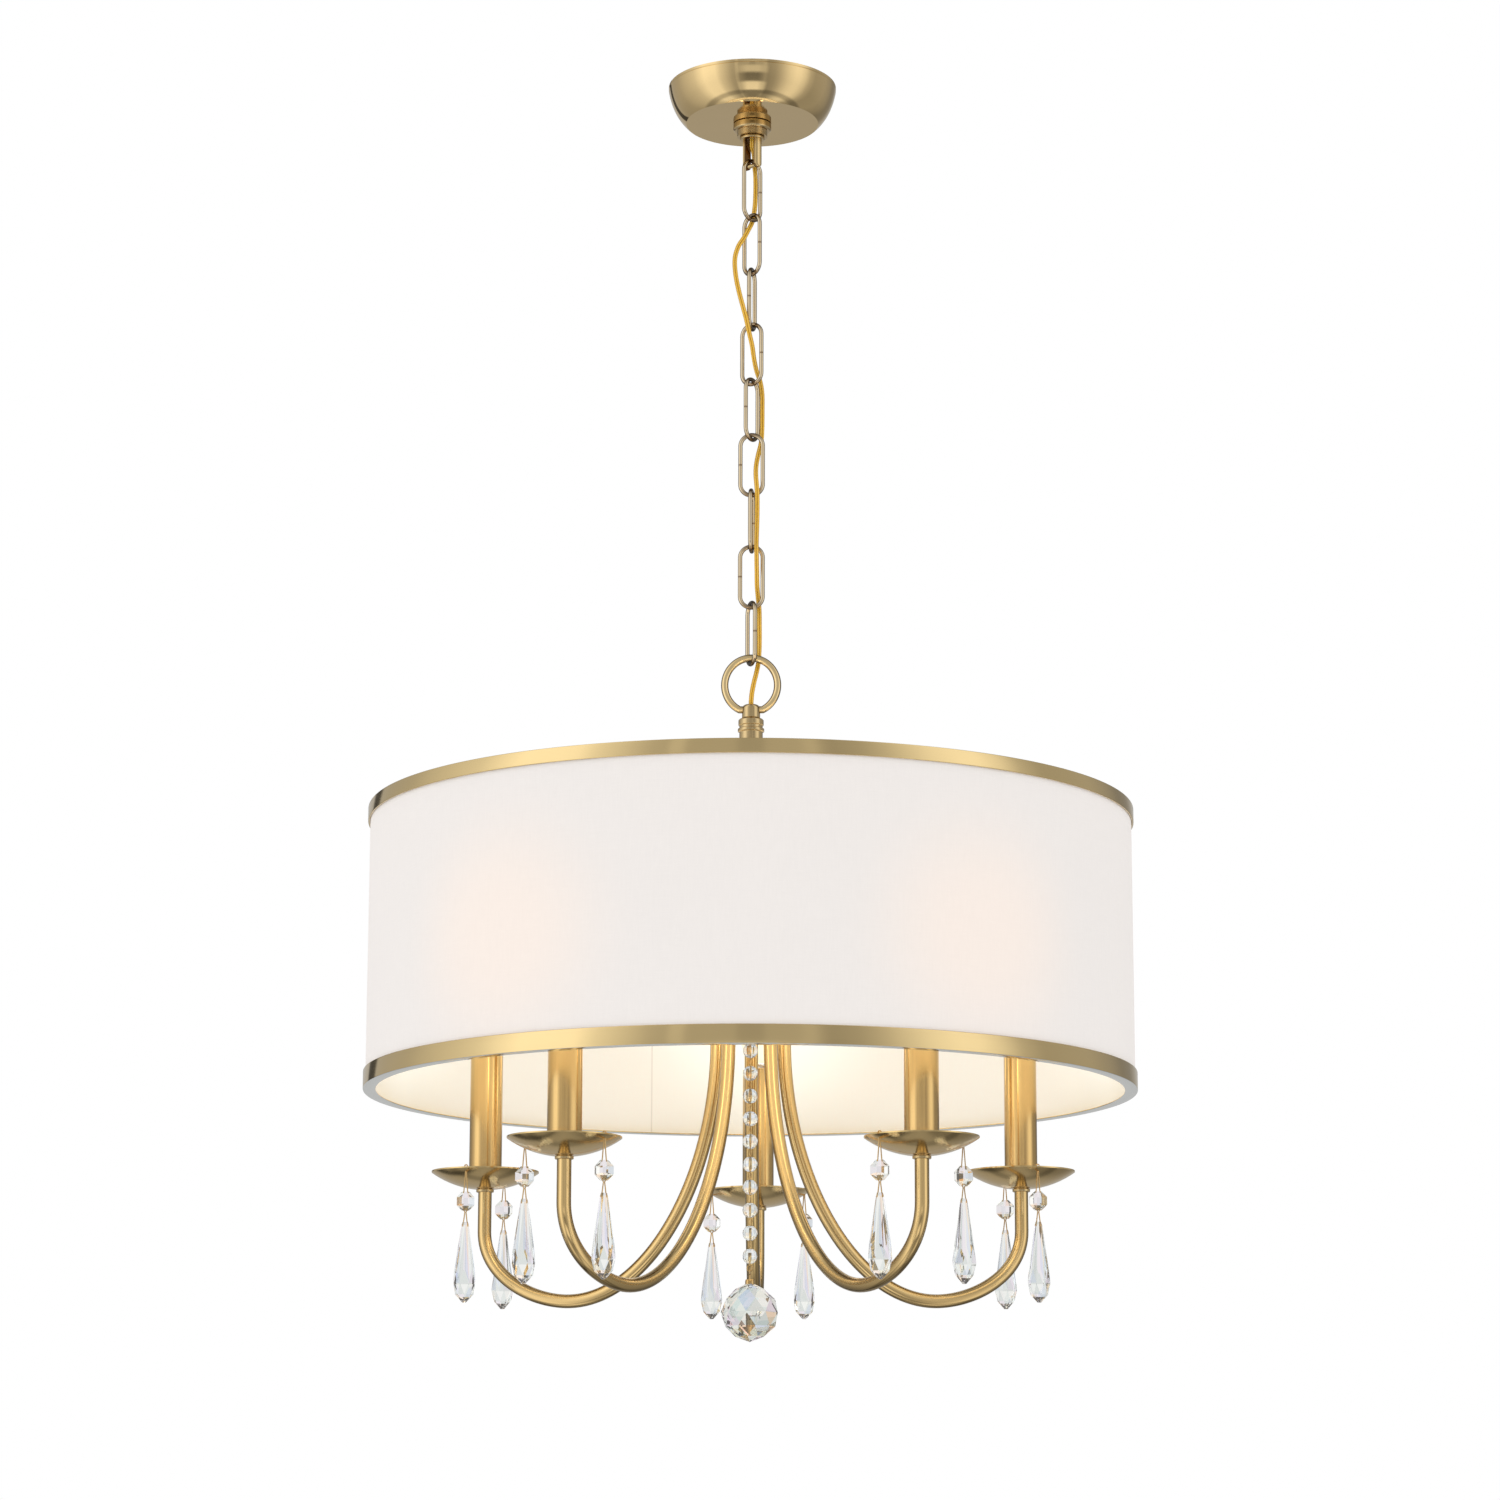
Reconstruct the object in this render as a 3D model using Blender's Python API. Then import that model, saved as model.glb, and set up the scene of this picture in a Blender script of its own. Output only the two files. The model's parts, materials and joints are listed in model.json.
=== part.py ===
"""Drum shade chandelier: five scrolled arms with crystal drops, hung by a chain from a canopy.

Metres, +Z up. The origin is the middle of the ceiling plane at the canopy's rim, so the whole
object hangs below z = 0. The front is -Y, and the fifth arm points to +Y.
"""
import bpy
import bmesh
from math import asin, cos, pi, radians, sin, sqrt
from mathutils import Matrix, Vector

# Clearances and cuts
GAP = 0.0003
OVERRUN = 0.002
MERGE_DISTANCE = 0.000003
SMOOTH_ANGLE = radians(35)

# Supply cord
CORD_RADIUS = 0.00185
CORD_BORE = 0.0025

# Crossbar, nipple and lock nut inside the canopy
STRAP_LENGTH = 0.100
STRAP_WIDTH = 0.020
STRAP_THICKNESS = 0.0025
SLOT_LENGTH = 0.012
SLOT_WIDTH = 0.0045
SLOT_END_MARGIN = 0.008
NIPPLE_RADIUS = 0.0048
NUT_ACROSS_CORNERS = 0.016
NUT_HEIGHT = 0.005

# Canopy and its threaded collar
CANOPY_RADIUS = 0.0635
CANOPY_FLAT_RADIUS = 0.0500
CANOPY_DEPTH = 0.0285
CANOPY_WALL = 0.001
CANOPY_LIP = 0.0025
CANOPY_BEND = radians(60)
COLLAR_FLANGE_RADIUS = 0.0144
COLLAR_FLANGE_HEIGHT = 0.0057
COLLAR_CHAMFER = 0.0012
COLLAR_NECK_RADIUS = 0.0115
COLLAR_NECK_HEIGHT = 0.0045
COLLAR_GROOVE = 0.0006
COLLAR_GROOVE_DROP = 0.0015
COLLAR_GROOVE_HEIGHT = 0.0015

# Hanger: a ring with two legs and a cross pin for the first link
HANGER_RING_RADIUS = 0.00935
HANGER_RING_HEIGHT = 0.0022
HANGER_SPREAD = 0.0165
HANGER_LEG_WIDTH = 0.0060
HANGER_LEG_THICKNESS = 0.0040
HANGER_LEG_FOOT = 0.0024
HANGER_PIN_DROP = 0.0223
HANGER_PIN = 0.0032
HANGER_TURN = radians(-45)

# Chain: oval links, each turned about the vertical by its own angle
LINK_WIRE = 0.0032
LINK_WIDTH = 0.0200
LINK_LENGTH = 0.0497
LINK_TURNS = [radians(turn) for turn in (45, -45, 77, -30, 60, -5, 85, 0, -69)]

# Suspension ring and the holder that it plugs into
RING_WIRE = 0.0054
RING_WIDTH = 0.0445
RING_HEIGHT = 0.0445
RING_PLUG_REACH = 0.0084
HOLDER_RADIUS = 0.0067
HOLDER_CROWN = 0.0038
HOLDER_SKIRT = 0.0068
HOLDER_ROUND = 0.0032
HOLDER_STUB_RADIUS = 0.0042
HOLDER_STUB = 0.0050

# Top collar, which clamps the shade's spider to the stem
TOP_TIER_RADIUS = 0.00935
TOP_TIER_HEIGHT = 0.0048
TOP_CHAMFER = 0.0012
TOP_GROOVE_HEIGHT = 0.0024
TOP_BAND_RADIUS = 0.00975
TOP_BAND_HEIGHT = 0.0025
TOP_BARREL_RADIUS = 0.00865
TOP_COLLAR_LENGTH = 0.0812

# Shade: a fabric drum between two metal bands, on a three-armed spider
SHADE_HEIGHT = 0.2055
FABRIC_RADIUS = 0.2778
FABRIC_WALL = 0.0015
BAND_WALL = 0.0014
TOP_BAND_DEPTH = 0.0100
BOTTOM_BAND_DEPTH = 0.0130
BAND_LIP = 0.0010
TOP_LIP_REACH = 0.0050
BOTTOM_LIP_REACH = 0.0093
SPIDER_DROP = 0.0097
SPIDER_WIRE = 0.0040
SPIDER_SEAT = 0.0006
WASHER_RADIUS = 0.0140
WASHER_HEIGHT = 0.0020
SPIDER_ARMS = 3

# Centre stem, hub and hub cap
STEM_RADIUS = 0.0080
STEM_BORE = 0.0034
STEM_TOP_THREAD = 0.0180
STEM_LENGTH = 0.0634
STEM_CAP_THREAD = 0.0060
HUB_RADIUS = 0.0380
HUB_DEPTH = 0.0240
HUB_WALL = 0.0020
HUB_FLOOR = 0.0030
COVER_HEIGHT = 0.0020
CAP_RADIUS = 0.0120
CAP_STRAIGHT = 0.0040
CAP_HEIGHT = 0.0137
CAP_FOOT_RADIUS = 0.0050
CAP_FLOOR = 0.0022
CAP_CAVITY_FOOT = 0.0036
CAP_HOLE = 0.0015

# Arms: bent tube, described by its centre line in the arm's own upright plane
ARM_COUNT = 5
ARM_TURN_START = radians(-126)
ARM_RADIUS = 0.0050
ARM_WALL = 0.0010
ARM_STUB = 0.0110
ARM_SHOULDER_RADIUS = 0.0065
ARM_SHOULDER_HEIGHT = 0.0030
ARM_ROOT = 0.0256
ARM_STRAIGHT = 0.0630
ARM_FALL = 0.1866
ARM_BELLY = 0.1395
ARM_REACH = 0.2075
ARM_RISE = 0.0526
ARM_FALL_HANDLE = 0.1050
ARM_BELLY_HANDLE = 0.0594
ARM_SCROLL_HANDLE = 0.0293
ARM_RISE_HANDLE = 0.0331
ARM_TIP = 0.0310
ARM_SPIGOT = 0.0060
FLANGE_RADIUS = 0.0065
FLANGE_HEIGHT = 0.0024

# Drip pans, candle sleeves and lamp sockets
PAN_RADIUS = 0.0395
PAN_CURVE = 0.0687
PAN_FLAT = 0.0095
PAN_WALL = 0.0010
PAN_HOLE_CIRCLE = 0.0355
PAN_HOLE_RADIUS = 0.0020
SLEEVE_RADIUS = 0.0120
SLEEVE_WALL = 0.0016
SLEEVE_HEIGHT = 0.1040
SOCKET_RECESS = 0.0022
SOCKET_FOOT_RADIUS = 0.0088
SOCKET_FOOT_HEIGHT = 0.0030
SOCKET_WALL = 0.0018
SOCKET_LAMP_BORE = 0.0062
SOCKET_LAMP_DEPTH = 0.0240
SOCKET_FLOOR = 0.0050
SOCKET_CONTACT_HOLE = 0.0020

# Crystal: drops at the pans, the bead string and its ball
PIN_HEAD_RADIUS = 0.0023
PIN_RADIUS = 0.0006
BEAD_DROP = 0.0254
BEAD_SIZE = 0.0138
BEAD_THICKNESS = 0.0080
DROP_START = 0.0404
DROP_LENGTH = 0.0590
DROP_WIDTH = 0.0170
DROP_THICKNESS = 0.0125
STRING_BEADS = 13
STRING_PITCH = 0.0165
STRING_BEAD_RADIUS = 0.0055
STRING_FIRST_BEAD = 0.0128
EYE_RADIUS = 0.0020
EYE_WIRE = 0.0012
EYE_STEM = 0.0012
BALL_RADIUS = 0.0210
BALL_HEIGHT = 0.0415
BALL_STEM = 0.0030
BALL_CAP_RADIUS = 0.0035
BALL_CAP_HEIGHT = 0.0035

# Outline of a drop as shares of its length, width and thickness, from its top to its foot
DROP_OUTLINE_SHARES = ((0.00, 0.24, 0.30), (0.30, 0.52, 0.55), (0.55, 0.78, 0.80),
                       (0.77, 1.00, 1.00), (0.92, 0.66, 0.66), (1.00, 0.24, 0.24))
# Outline of the ball as shares of its half height and its radius
BALL_OUTLINE_SHARES = ((0.86, 0.50), (0.50, 0.86), (0.00, 1.00), (-0.50, 0.86), (-0.86, 0.50))

# Route of the supply cord from the hanger to the ring holder, in millimetres
CORD_ROUTE_MM = (
    (0, 0, -41.0), (-0.2, 1.0, -45.5), (1.0, 3.6, -50.5), (1.5, 5.6, -55.0), (1.5, 7.0, -59.5),
    (2.2, 7.9, -66.0), (2.4, 8.0, -76.0), (2.2, 6.2, -88.0), (1.4, 5.4, -97.0), (-0.1, 5.6, -104.5),
    (-3.0, 3.4, -111.5), (-6.0, 0.2, -118.5), (-10.2, -2.0, -126.0), (-12.8, -3.0, -136.0),
    (-12.2, -4.6, -149.0), (-9.6, -7.2, -163.0), (-6.2, -10.4, -177.0), (-3.9, -10.6, -186.0),
    (-1.6, -7.4, -196.5), (0.4, -3.6, -205.0), (1.6, -0.8, -213.5), (3.4, 2.8, -222.0),
    (6.2, 6.8, -230.0), (7.5, 9.6, -239.0), (7.6, 9.8, -252.0), (7.5, 9.6, -266.0),
    (6.8, 8.4, -277.0), (4.6, 5.6, -287.5), (3.3, 2.6, -296.5), (3.2, -0.2, -304.5),
    (3.8, -3.6, -311.5), (4.3, -5.3, -319.0), (4.4, -5.7, -331.0), (4.2, -5.6, -345.0),
    (3.9, -5.4, -358.0), (4.0, -4.2, -369.0), (4.1, -1.4, -379.0), (4.2, 1.8, -388.5),
    (4.9, 4.6, -397.0), (5.7, 5.4, -406.5), (5.9, 5.2, -420.0), (5.9, 5.5, -434.0),
    (5.3, 5.6, -445.0), (3.9, 4.3, -453.5), (2.0, 2.3, -462.0), (0.6, 0.7, -470.0),
    (0, 0, -477.0))
CORD_POINT_SPACING = 0.0100
CORD_READINGS = 12
MILLIMETRE = 0.001

# Faces around the round pieces
SHADE_SIDES = 48
CANOPY_SIDES = 32
HUB_SIDES = 28
PAN_SIDES = 20
FITTING_SIDES = 16
TUBE_SIDES = 14
BORE_SIDES = 12
SMALL_SIDES = 8
NUT_SIDES = 6
ARC_STEPS = 3
LINK_STEPS = 8
RING_STEPS = 20
FALL_STEPS = 8
RISE_STEPS = 5

# Roundness of wires: a wire has four faces around and two more for each step
BORE_WIRE_STEPS = 0
THIN_WIRE_STEPS = 1
THICK_WIRE_STEPS = 2

# Heights worked out from the sizes, from the ceiling down
strap_under = -STRAP_THICKNESS
nut_top = strap_under - GAP
canopy_under = -CANOPY_DEPTH
collar_top = canopy_under - GAP
collar_under = collar_top - COLLAR_FLANGE_HEIGHT - COLLAR_NECK_HEIGHT
hanger_top = collar_under - GAP
hanger_ring_under = hanger_top - HANGER_RING_HEIGHT
pin_height = hanger_top - HANGER_PIN_DROP


def next_pivot(pivot, wire_above):
    """Height of the wire on which the next piece hangs, below a link on wire_above."""
    return pivot + (wire_above + LINK_WIRE) / 2 + GAP - (LINK_LENGTH - LINK_WIRE)


link_pivots = [pin_height]
wires_above = [HANGER_PIN] + [LINK_WIRE] * (len(LINK_TURNS) - 1)
for above in wires_above:
    link_pivots.append(next_pivot(link_pivots[-1], above))
ring_pivot = link_pivots.pop()
ring_top = ring_pivot + (LINK_WIRE + RING_WIRE) / 2 + GAP
fixture_pivot = ring_top - (RING_HEIGHT - RING_WIRE)
holder_under = fixture_pivot - HOLDER_SKIRT
top_collar_top = holder_under - GAP
top_collar_under = top_collar_top - TOP_COLLAR_LENGTH
washer_top = top_collar_under - GAP
washer_under = washer_top - WASHER_HEIGHT
shade_top = washer_top + SPIDER_DROP
shade_under = shade_top - SHADE_HEIGHT
stem_top = washer_under - GAP
stem_under = stem_top - STEM_LENGTH
cover_top = stem_under - GAP
hub_top = cover_top - COVER_HEIGHT - GAP
hub_under = hub_top - HUB_DEPTH
cap_top = hub_under - GAP
cap_under = cap_top - CAP_HEIGHT
string_pivot = cap_under + CAP_FLOOR + sqrt((PIN_HEAD_RADIUS + GAP) ** 2 - CAP_HOLE ** 2)
arm_bend_top = hub_under - ARM_STRAIGHT
arm_lowest = arm_bend_top - ARM_FALL
arm_bend_end = arm_lowest + ARM_RISE
flange_top = arm_bend_end + ARM_TIP
pan_under = flange_top + GAP


def pan_rise(radius):
    """Height of the pan's underside above its flat middle, at a radius."""
    return sqrt(PAN_CURVE ** 2 - PAN_FLAT ** 2) - sqrt(PAN_CURVE ** 2 - radius ** 2)


sleeve_under = pan_under + PAN_WALL + pan_rise(SLEEVE_RADIUS) + GAP
sleeve_top = sleeve_under + SLEEVE_HEIGHT
socket_under = pan_under + PAN_WALL + GAP
socket_top = sleeve_top - SOCKET_RECESS
hole_rim = pan_under + PAN_WALL + pan_rise(PAN_HOLE_CIRCLE + PAN_HOLE_RADIUS)
drop_pivot = hole_rim + sqrt((PIN_HEAD_RADIUS + GAP) ** 2 - PAN_HOLE_RADIUS ** 2)
eye_height = string_pivot - STRING_FIRST_BEAD - STRING_PITCH * (STRING_BEADS - 1)
eye_height -= STRING_BEAD_RADIUS + EYE_STEM + EYE_RADIUS
ball_pivot = eye_height - EYE_RADIUS
thread_hole = NIPPLE_RADIUS + GAP


def clear_scene():
    """Start from an empty file."""
    for old in list(bpy.data.objects):
        bpy.data.objects.remove(old, do_unlink=True)


def finish(name, colour, metallic, roughness, transmission=0.0):
    """A Principled material."""
    made = bpy.data.materials.new(name)
    made.use_nodes = True
    shader = made.node_tree.nodes["Principled BSDF"]
    shader.inputs["Base Color"].default_value = (*colour, 1.0)
    shader.inputs["Metallic"].default_value = metallic
    shader.inputs["Roughness"].default_value = roughness
    shader.inputs["Transmission Weight"].default_value = transmission
    made.diffuse_color = (*colour, 1.0)
    return made


def closed_mesh(shape, name):
    """Turn a finished bmesh into a smooth-shaded mesh whose faces point outwards."""
    bmesh.ops.remove_doubles(shape, verts=shape.verts, dist=MERGE_DISTANCE)
    bmesh.ops.recalc_face_normals(shape, faces=shape.faces)
    if shape.calc_volume(signed=True) < 0:
        bmesh.ops.reverse_faces(shape, faces=shape.faces)
    mesh = bpy.data.meshes.new(name)
    shape.to_mesh(mesh)
    shape.free()
    mesh.shade_smooth()
    mesh.set_sharp_from_angle(angle=SMOOTH_ANGLE)
    return mesh


def turned(name, outline, sides):
    """Spin an outline of (radius, height) points about Z; it may start and end on the axis."""
    shape = bmesh.new()
    points = [shape.verts.new((radius, 0, height)) for radius, height in outline]
    edges = [shape.edges.new(pair) for pair in zip(points, points[1:])]
    if outline[0][0] > 0:
        edges.append(shape.edges.new((points[-1], points[0])))
    bmesh.ops.spin(shape, geom=points + edges, cent=(0, 0, 0), axis=(0, 0, 1),
                   angle=2 * pi, steps=sides)
    return closed_mesh(shape, name)


def lofted(name, sections):
    """Skin a stack of sections, each a ring of points, and close both ends."""
    shape = bmesh.new()
    rings = [[shape.verts.new(point) for point in section] for section in sections]
    shape.faces.new(rings[0])
    shape.faces.new(rings[-1])
    for lower, upper in zip(rings, rings[1:]):
        for here, corner in enumerate(lower):
            there = (here + 1) % len(lower)
            shape.faces.new((corner, lower[there], upper[there], upper[here]))
    return closed_mesh(shape, name)


def block(name, size, centre):
    """A box of a given size about a centre."""
    shape = bmesh.new()
    bmesh.ops.create_cube(shape, size=1.0)
    bmesh.ops.scale(shape, vec=size, verts=shape.verts)
    bmesh.ops.translate(shape, vec=centre, verts=shape.verts)
    return closed_mesh(shape, name)


def bar(name, radius, start, end, sides):
    """A round bar between two points."""
    start = Vector(start)
    run = Vector(end) - start
    shape = bmesh.new()
    bmesh.ops.create_cone(shape, cap_ends=True, segments=sides, radius1=radius, radius2=radius,
                          depth=run.length)
    place = Matrix.Translation(start + run / 2) @ run.to_track_quat("Z", "Y").to_matrix().to_4x4()
    bmesh.ops.transform(shape, matrix=place, verts=shape.verts)
    return closed_mesh(shape, name)


def wire(name, points, radius, closed, resolution):
    """A round wire along points, as a curve with a bevel."""
    curve = bpy.data.curves.new(name, "CURVE")
    curve.dimensions = "3D"
    curve.bevel_depth = radius
    curve.bevel_resolution = resolution
    curve.use_fill_caps = True
    spline = curve.splines.new("POLY")
    spline.points.add(len(points) - 1)
    for slot, point in zip(spline.points, points):
        slot.co = (*point, 1.0)
    spline.use_cyclic_u = closed
    spline.use_smooth = True
    return curve


def evaluated_mesh(data, name):
    """The plain mesh of a curve."""
    holder = bpy.data.objects.new(name, data)
    bpy.context.collection.objects.link(holder)
    graph = bpy.context.evaluated_depsgraph_get()
    mesh = bpy.data.meshes.new_from_object(holder.evaluated_get(graph))
    bpy.data.objects.remove(holder)
    return mesh


def combined(name, body, tools, operation):
    """The mesh of body with each tool joined to it or cut from it by a Boolean."""
    carrier = bpy.data.objects.new(name, body)
    bpy.context.collection.objects.link(carrier)
    helpers = []
    for tool in tools:
        helper = bpy.data.objects.new("helper", tool)
        bpy.context.collection.objects.link(helper)
        helpers.append(helper)
        step = carrier.modifiers.new("step", "BOOLEAN")
        step.operation = operation
        step.solver = "EXACT"
        step.object = helper
    graph = bpy.context.evaluated_depsgraph_get()
    mesh = bpy.data.meshes.new_from_object(carrier.evaluated_get(graph))
    for used in [carrier] + helpers:
        bpy.data.objects.remove(used)
    mesh.name = name
    mesh.shade_smooth()
    mesh.set_sharp_from_angle(angle=SMOOTH_ANGLE)
    return mesh


def add_piece(name, data, material, place=(0, 0, 0), turn=0.0, parent=None):
    """Link one named sub-part at a place, turned about Z."""
    piece = bpy.data.objects.new(name, data)
    bpy.context.collection.objects.link(piece)
    if not data.materials:
        data.materials.append(material)
    piece.location = Vector(place)
    piece.rotation_euler = (0, 0, turn)
    if parent is not None:
        piece.parent = parent
        piece.location = Vector(place) - parent.location
    return piece


def add_axis(name, place):
    """An empty on a joint's axis, which carries the pieces that move with it."""
    axis = bpy.data.objects.new(name, None)
    bpy.context.collection.objects.link(axis)
    axis.location = Vector(place)
    return axis


def arc(centre, across, along, start, end, steps):
    """Points of an elliptic arc in (radius, height), with both ends."""
    turns = [start + (end - start) * step / steps for step in range(steps + 1)]
    return [(centre[0] + across * cos(turn), centre[1] + along * sin(turn)) for turn in turns]


def level(direction, distance, height):
    """A point at a distance along a level direction, at a height."""
    return Vector((cos(direction) * distance, sin(direction) * distance, height))


def bezier(start, first_handle, second_handle, end, steps):
    """Points of a cubic curve, without its start."""
    points = []
    for step in range(1, steps + 1):
        share = step / steps
        rest = 1 - share
        points.append(start * rest ** 3 + first_handle * 3 * rest ** 2 * share
                      + second_handle * 3 * rest * share ** 2 + end * share ** 3)
    return points


def smooth_route(points, spacing):
    """Read points at an even spacing from a smooth curve through the given ones."""
    padded = [points[0] * 2 - points[1]] + points + [points[-1] * 2 - points[-2]]
    fine = []
    for before, start, end, after in zip(padded, padded[1:], padded[2:], padded[3:]):
        for step in range(CORD_READINGS):
            share = step / CORD_READINGS
            fine.append((start * 2 + (end - before) * share
                         + (before * 2 - start * 5 + end * 4 - after) * share ** 2
                         + (start * 3 - before - end * 3 + after) * share ** 3) / 2)
    fine.append(points[-1])
    lengths = [0.0]
    for start, end in zip(fine, fine[1:]):
        lengths.append(lengths[-1] + (end - start).length)
    count = max(2, round(lengths[-1] / spacing))
    route = []
    index = 0
    for step in range(count + 1):
        wanted = lengths[-1] * step / count
        while index < len(fine) - 2 and lengths[index + 1] < wanted:
            index += 1
        share = (wanted - lengths[index]) / (lengths[index + 1] - lengths[index])
        route.append(fine[index].lerp(fine[index + 1], share))
    return route


def ceiling_crossbar():
    """Steel strap across the ceiling box, with a nipple hole and two screw slots."""
    strap = block("ceiling_crossbar", (STRAP_LENGTH, STRAP_WIDTH, STRAP_THICKNESS),
                  (0, 0, strap_under / 2))
    cuts = [bar("hole", thread_hole, (0, 0, OVERRUN), (0, 0, strap_under - OVERRUN), BORE_SIDES)]
    slot_centre = (STRAP_LENGTH - SLOT_LENGTH) / 2 - SLOT_END_MARGIN
    for side in (-1, 1):
        ends = [side * slot_centre + way * (SLOT_LENGTH - SLOT_WIDTH) / 2 for way in (-1, 1)]
        for end in ends:
            cuts.append(bar("slot_end", SLOT_WIDTH / 2, (end, 0, OVERRUN),
                            (end, 0, strap_under - OVERRUN), BORE_SIDES))
        cuts.append(block("slot_middle", (SLOT_LENGTH - SLOT_WIDTH, SLOT_WIDTH,
                                          STRAP_THICKNESS + 2 * OVERRUN),
                          (side * slot_centre, 0, strap_under / 2)))
    return combined("ceiling_crossbar", strap, cuts, "DIFFERENCE")


def canopy_nipple():
    """Threaded tube that holds strap, canopy, collar and hanger together."""
    top = -GAP
    under = hanger_ring_under + GAP
    return turned("canopy_nipple", [(CORD_BORE, top), (NIPPLE_RADIUS, top),
                                    (NIPPLE_RADIUS, under), (CORD_BORE, under)], BORE_SIDES)


def crossbar_locknut():
    """Hexagon nut under the strap."""
    corner = NUT_ACROSS_CORNERS / 2
    body = bar("crossbar_locknut", corner, (0, 0, nut_top), (0, 0, nut_top - NUT_HEIGHT),
               NUT_SIDES)
    hole = bar("hole", thread_hole, (0, 0, nut_top + OVERRUN),
               (0, 0, nut_top - NUT_HEIGHT - OVERRUN), BORE_SIDES)
    return combined("crossbar_locknut", body, [hole], "DIFFERENCE")


def canopy_cup():
    """Spun bowl that hides the ceiling box: a straight lip, a bent side and a flat middle."""
    side_drop = CANOPY_DEPTH - CANOPY_LIP
    across = (CANOPY_RADIUS - CANOPY_FLAT_RADIUS) / (1 - cos(CANOPY_BEND))
    along = side_drop / sin(CANOPY_BEND)
    centre = (CANOPY_RADIUS - across, -CANOPY_LIP)
    inner_bend = asin((side_drop - CANOPY_WALL) / (along - CANOPY_WALL))
    outside = arc(centre, across, along, 0, -CANOPY_BEND, ARC_STEPS + 1)
    inside = arc(centre, across - CANOPY_WALL, along - CANOPY_WALL, -inner_bend, 0, ARC_STEPS + 1)
    outline = [(CANOPY_RADIUS, 0)] + outside
    outline += [(thread_hole, canopy_under), (thread_hole, canopy_under + CANOPY_WALL)]
    outline += inside + [(CANOPY_RADIUS - CANOPY_WALL, 0)]
    return turned("canopy_cup", outline, CANOPY_SIDES)


def canopy_collar():
    """Threaded collar that draws the canopy up to the ceiling."""
    flange_under = collar_top - COLLAR_FLANGE_HEIGHT
    groove_top = flange_under - COLLAR_GROOVE_DROP
    groove_under = groove_top - COLLAR_GROOVE_HEIGHT
    groove = COLLAR_NECK_RADIUS - COLLAR_GROOVE
    outline = [(thread_hole, collar_top), (COLLAR_FLANGE_RADIUS, collar_top),
               (COLLAR_FLANGE_RADIUS, flange_under + COLLAR_CHAMFER),
               (COLLAR_FLANGE_RADIUS - COLLAR_CHAMFER, flange_under),
               (COLLAR_NECK_RADIUS, flange_under), (COLLAR_NECK_RADIUS, groove_top),
               (groove, groove_top), (groove, groove_under), (COLLAR_NECK_RADIUS, groove_under),
               (COLLAR_NECK_RADIUS, collar_under), (thread_hole, collar_under)]
    return turned("canopy_collar", outline, FITTING_SIDES)


def chain_hanger():
    """Ring with two legs and a cross pin, which carries the first link."""
    ring = turned("chain_hanger", [(thread_hole, hanger_top), (HANGER_RING_RADIUS, hanger_top),
                                   (HANGER_RING_RADIUS, hanger_ring_under),
                                   (thread_hole, hanger_ring_under)], FITTING_SIDES)
    middle = (HANGER_SPREAD - HANGER_LEG_THICKNESS) / 2
    foot = pin_height - HANGER_LEG_FOOT
    leg_top = hanger_top - HANGER_RING_HEIGHT / 2
    additions = []
    for side in (-1, 1):
        leg = block("leg", (HANGER_LEG_THICKNESS, HANGER_LEG_WIDTH, leg_top - foot),
                    (side * middle, 0, (leg_top + foot) / 2))
        additions.append(leg)
    additions.append(bar("pin", HANGER_PIN / 2, (-middle, 0, pin_height),
                         (middle, 0, pin_height), SMALL_SIDES))
    solid = combined("chain_hanger", ring, additions, "UNION")
    thread = bar("thread", thread_hole, (0, 0, hanger_top + OVERRUN),
                 (0, 0, hanger_ring_under), FITTING_SIDES)
    return combined("chain_hanger", solid, [thread], "DIFFERENCE")


def link_curve(name, wire_above):
    """Oval link, with the wire that it hangs on at the origin."""
    bend = (LINK_WIDTH - LINK_WIRE) / 2
    top = (wire_above + LINK_WIRE) / 2 + GAP - bend
    under = top - (LINK_LENGTH - LINK_WIDTH)
    points = [(across, 0, height)
              for across, height in arc((0, top), bend, bend, 0, pi, LINK_STEPS)]
    points += [(across, 0, height)
               for across, height in arc((0, under), bend, bend, pi, 2 * pi, LINK_STEPS)]
    return wire(name, points, LINK_WIRE / 2, True, THIN_WIRE_STEPS)


def ring_curve():
    """Suspension ring, open at the foot, whose straight ends plug into the holder."""
    across = (RING_WIDTH - RING_WIRE) / 2
    drop = RING_HEIGHT - RING_WIRE
    along = drop / (1 + sqrt(1 - (RING_PLUG_REACH / across) ** 2))
    top = ring_top - ring_pivot
    open_turn = asin(RING_PLUG_REACH / across)
    bend = arc((0, top - along), across, along, -pi / 2 + open_turn,
               3 * pi / 2 - open_turn, RING_STEPS)
    end = CORD_BORE + GAP
    points = [(end, 0, top - drop)] + [(x, 0, z) for x, z in bend] + [(-end, 0, top - drop)]
    return wire("suspension_ring", points, RING_WIRE / 2, False, THICK_WIRE_STEPS)


def ring_holder():
    """Domed neck with a cross hole for the ring and a bore for the cord."""
    crown = fixture_pivot + HOLDER_CROWN
    dome = arc((HOLDER_RADIUS - HOLDER_ROUND, crown - HOLDER_ROUND), HOLDER_ROUND, HOLDER_ROUND,
               pi / 2, 0, ARC_STEPS)
    stub_under = holder_under - HOLDER_STUB
    outline = [(CORD_BORE, crown)] + dome
    outline += [(HOLDER_RADIUS, holder_under), (HOLDER_STUB_RADIUS, holder_under),
                (HOLDER_STUB_RADIUS, stub_under), (CORD_BORE, stub_under)]
    body = turned("ring_holder", outline, FITTING_SIDES)
    reach = HOLDER_RADIUS + OVERRUN
    hole = bar("cross_hole", RING_WIRE / 2 + GAP, (-reach, 0, fixture_pivot),
               (reach, 0, fixture_pivot), TUBE_SIDES)
    return combined("ring_holder", body, [hole], "DIFFERENCE")


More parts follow.
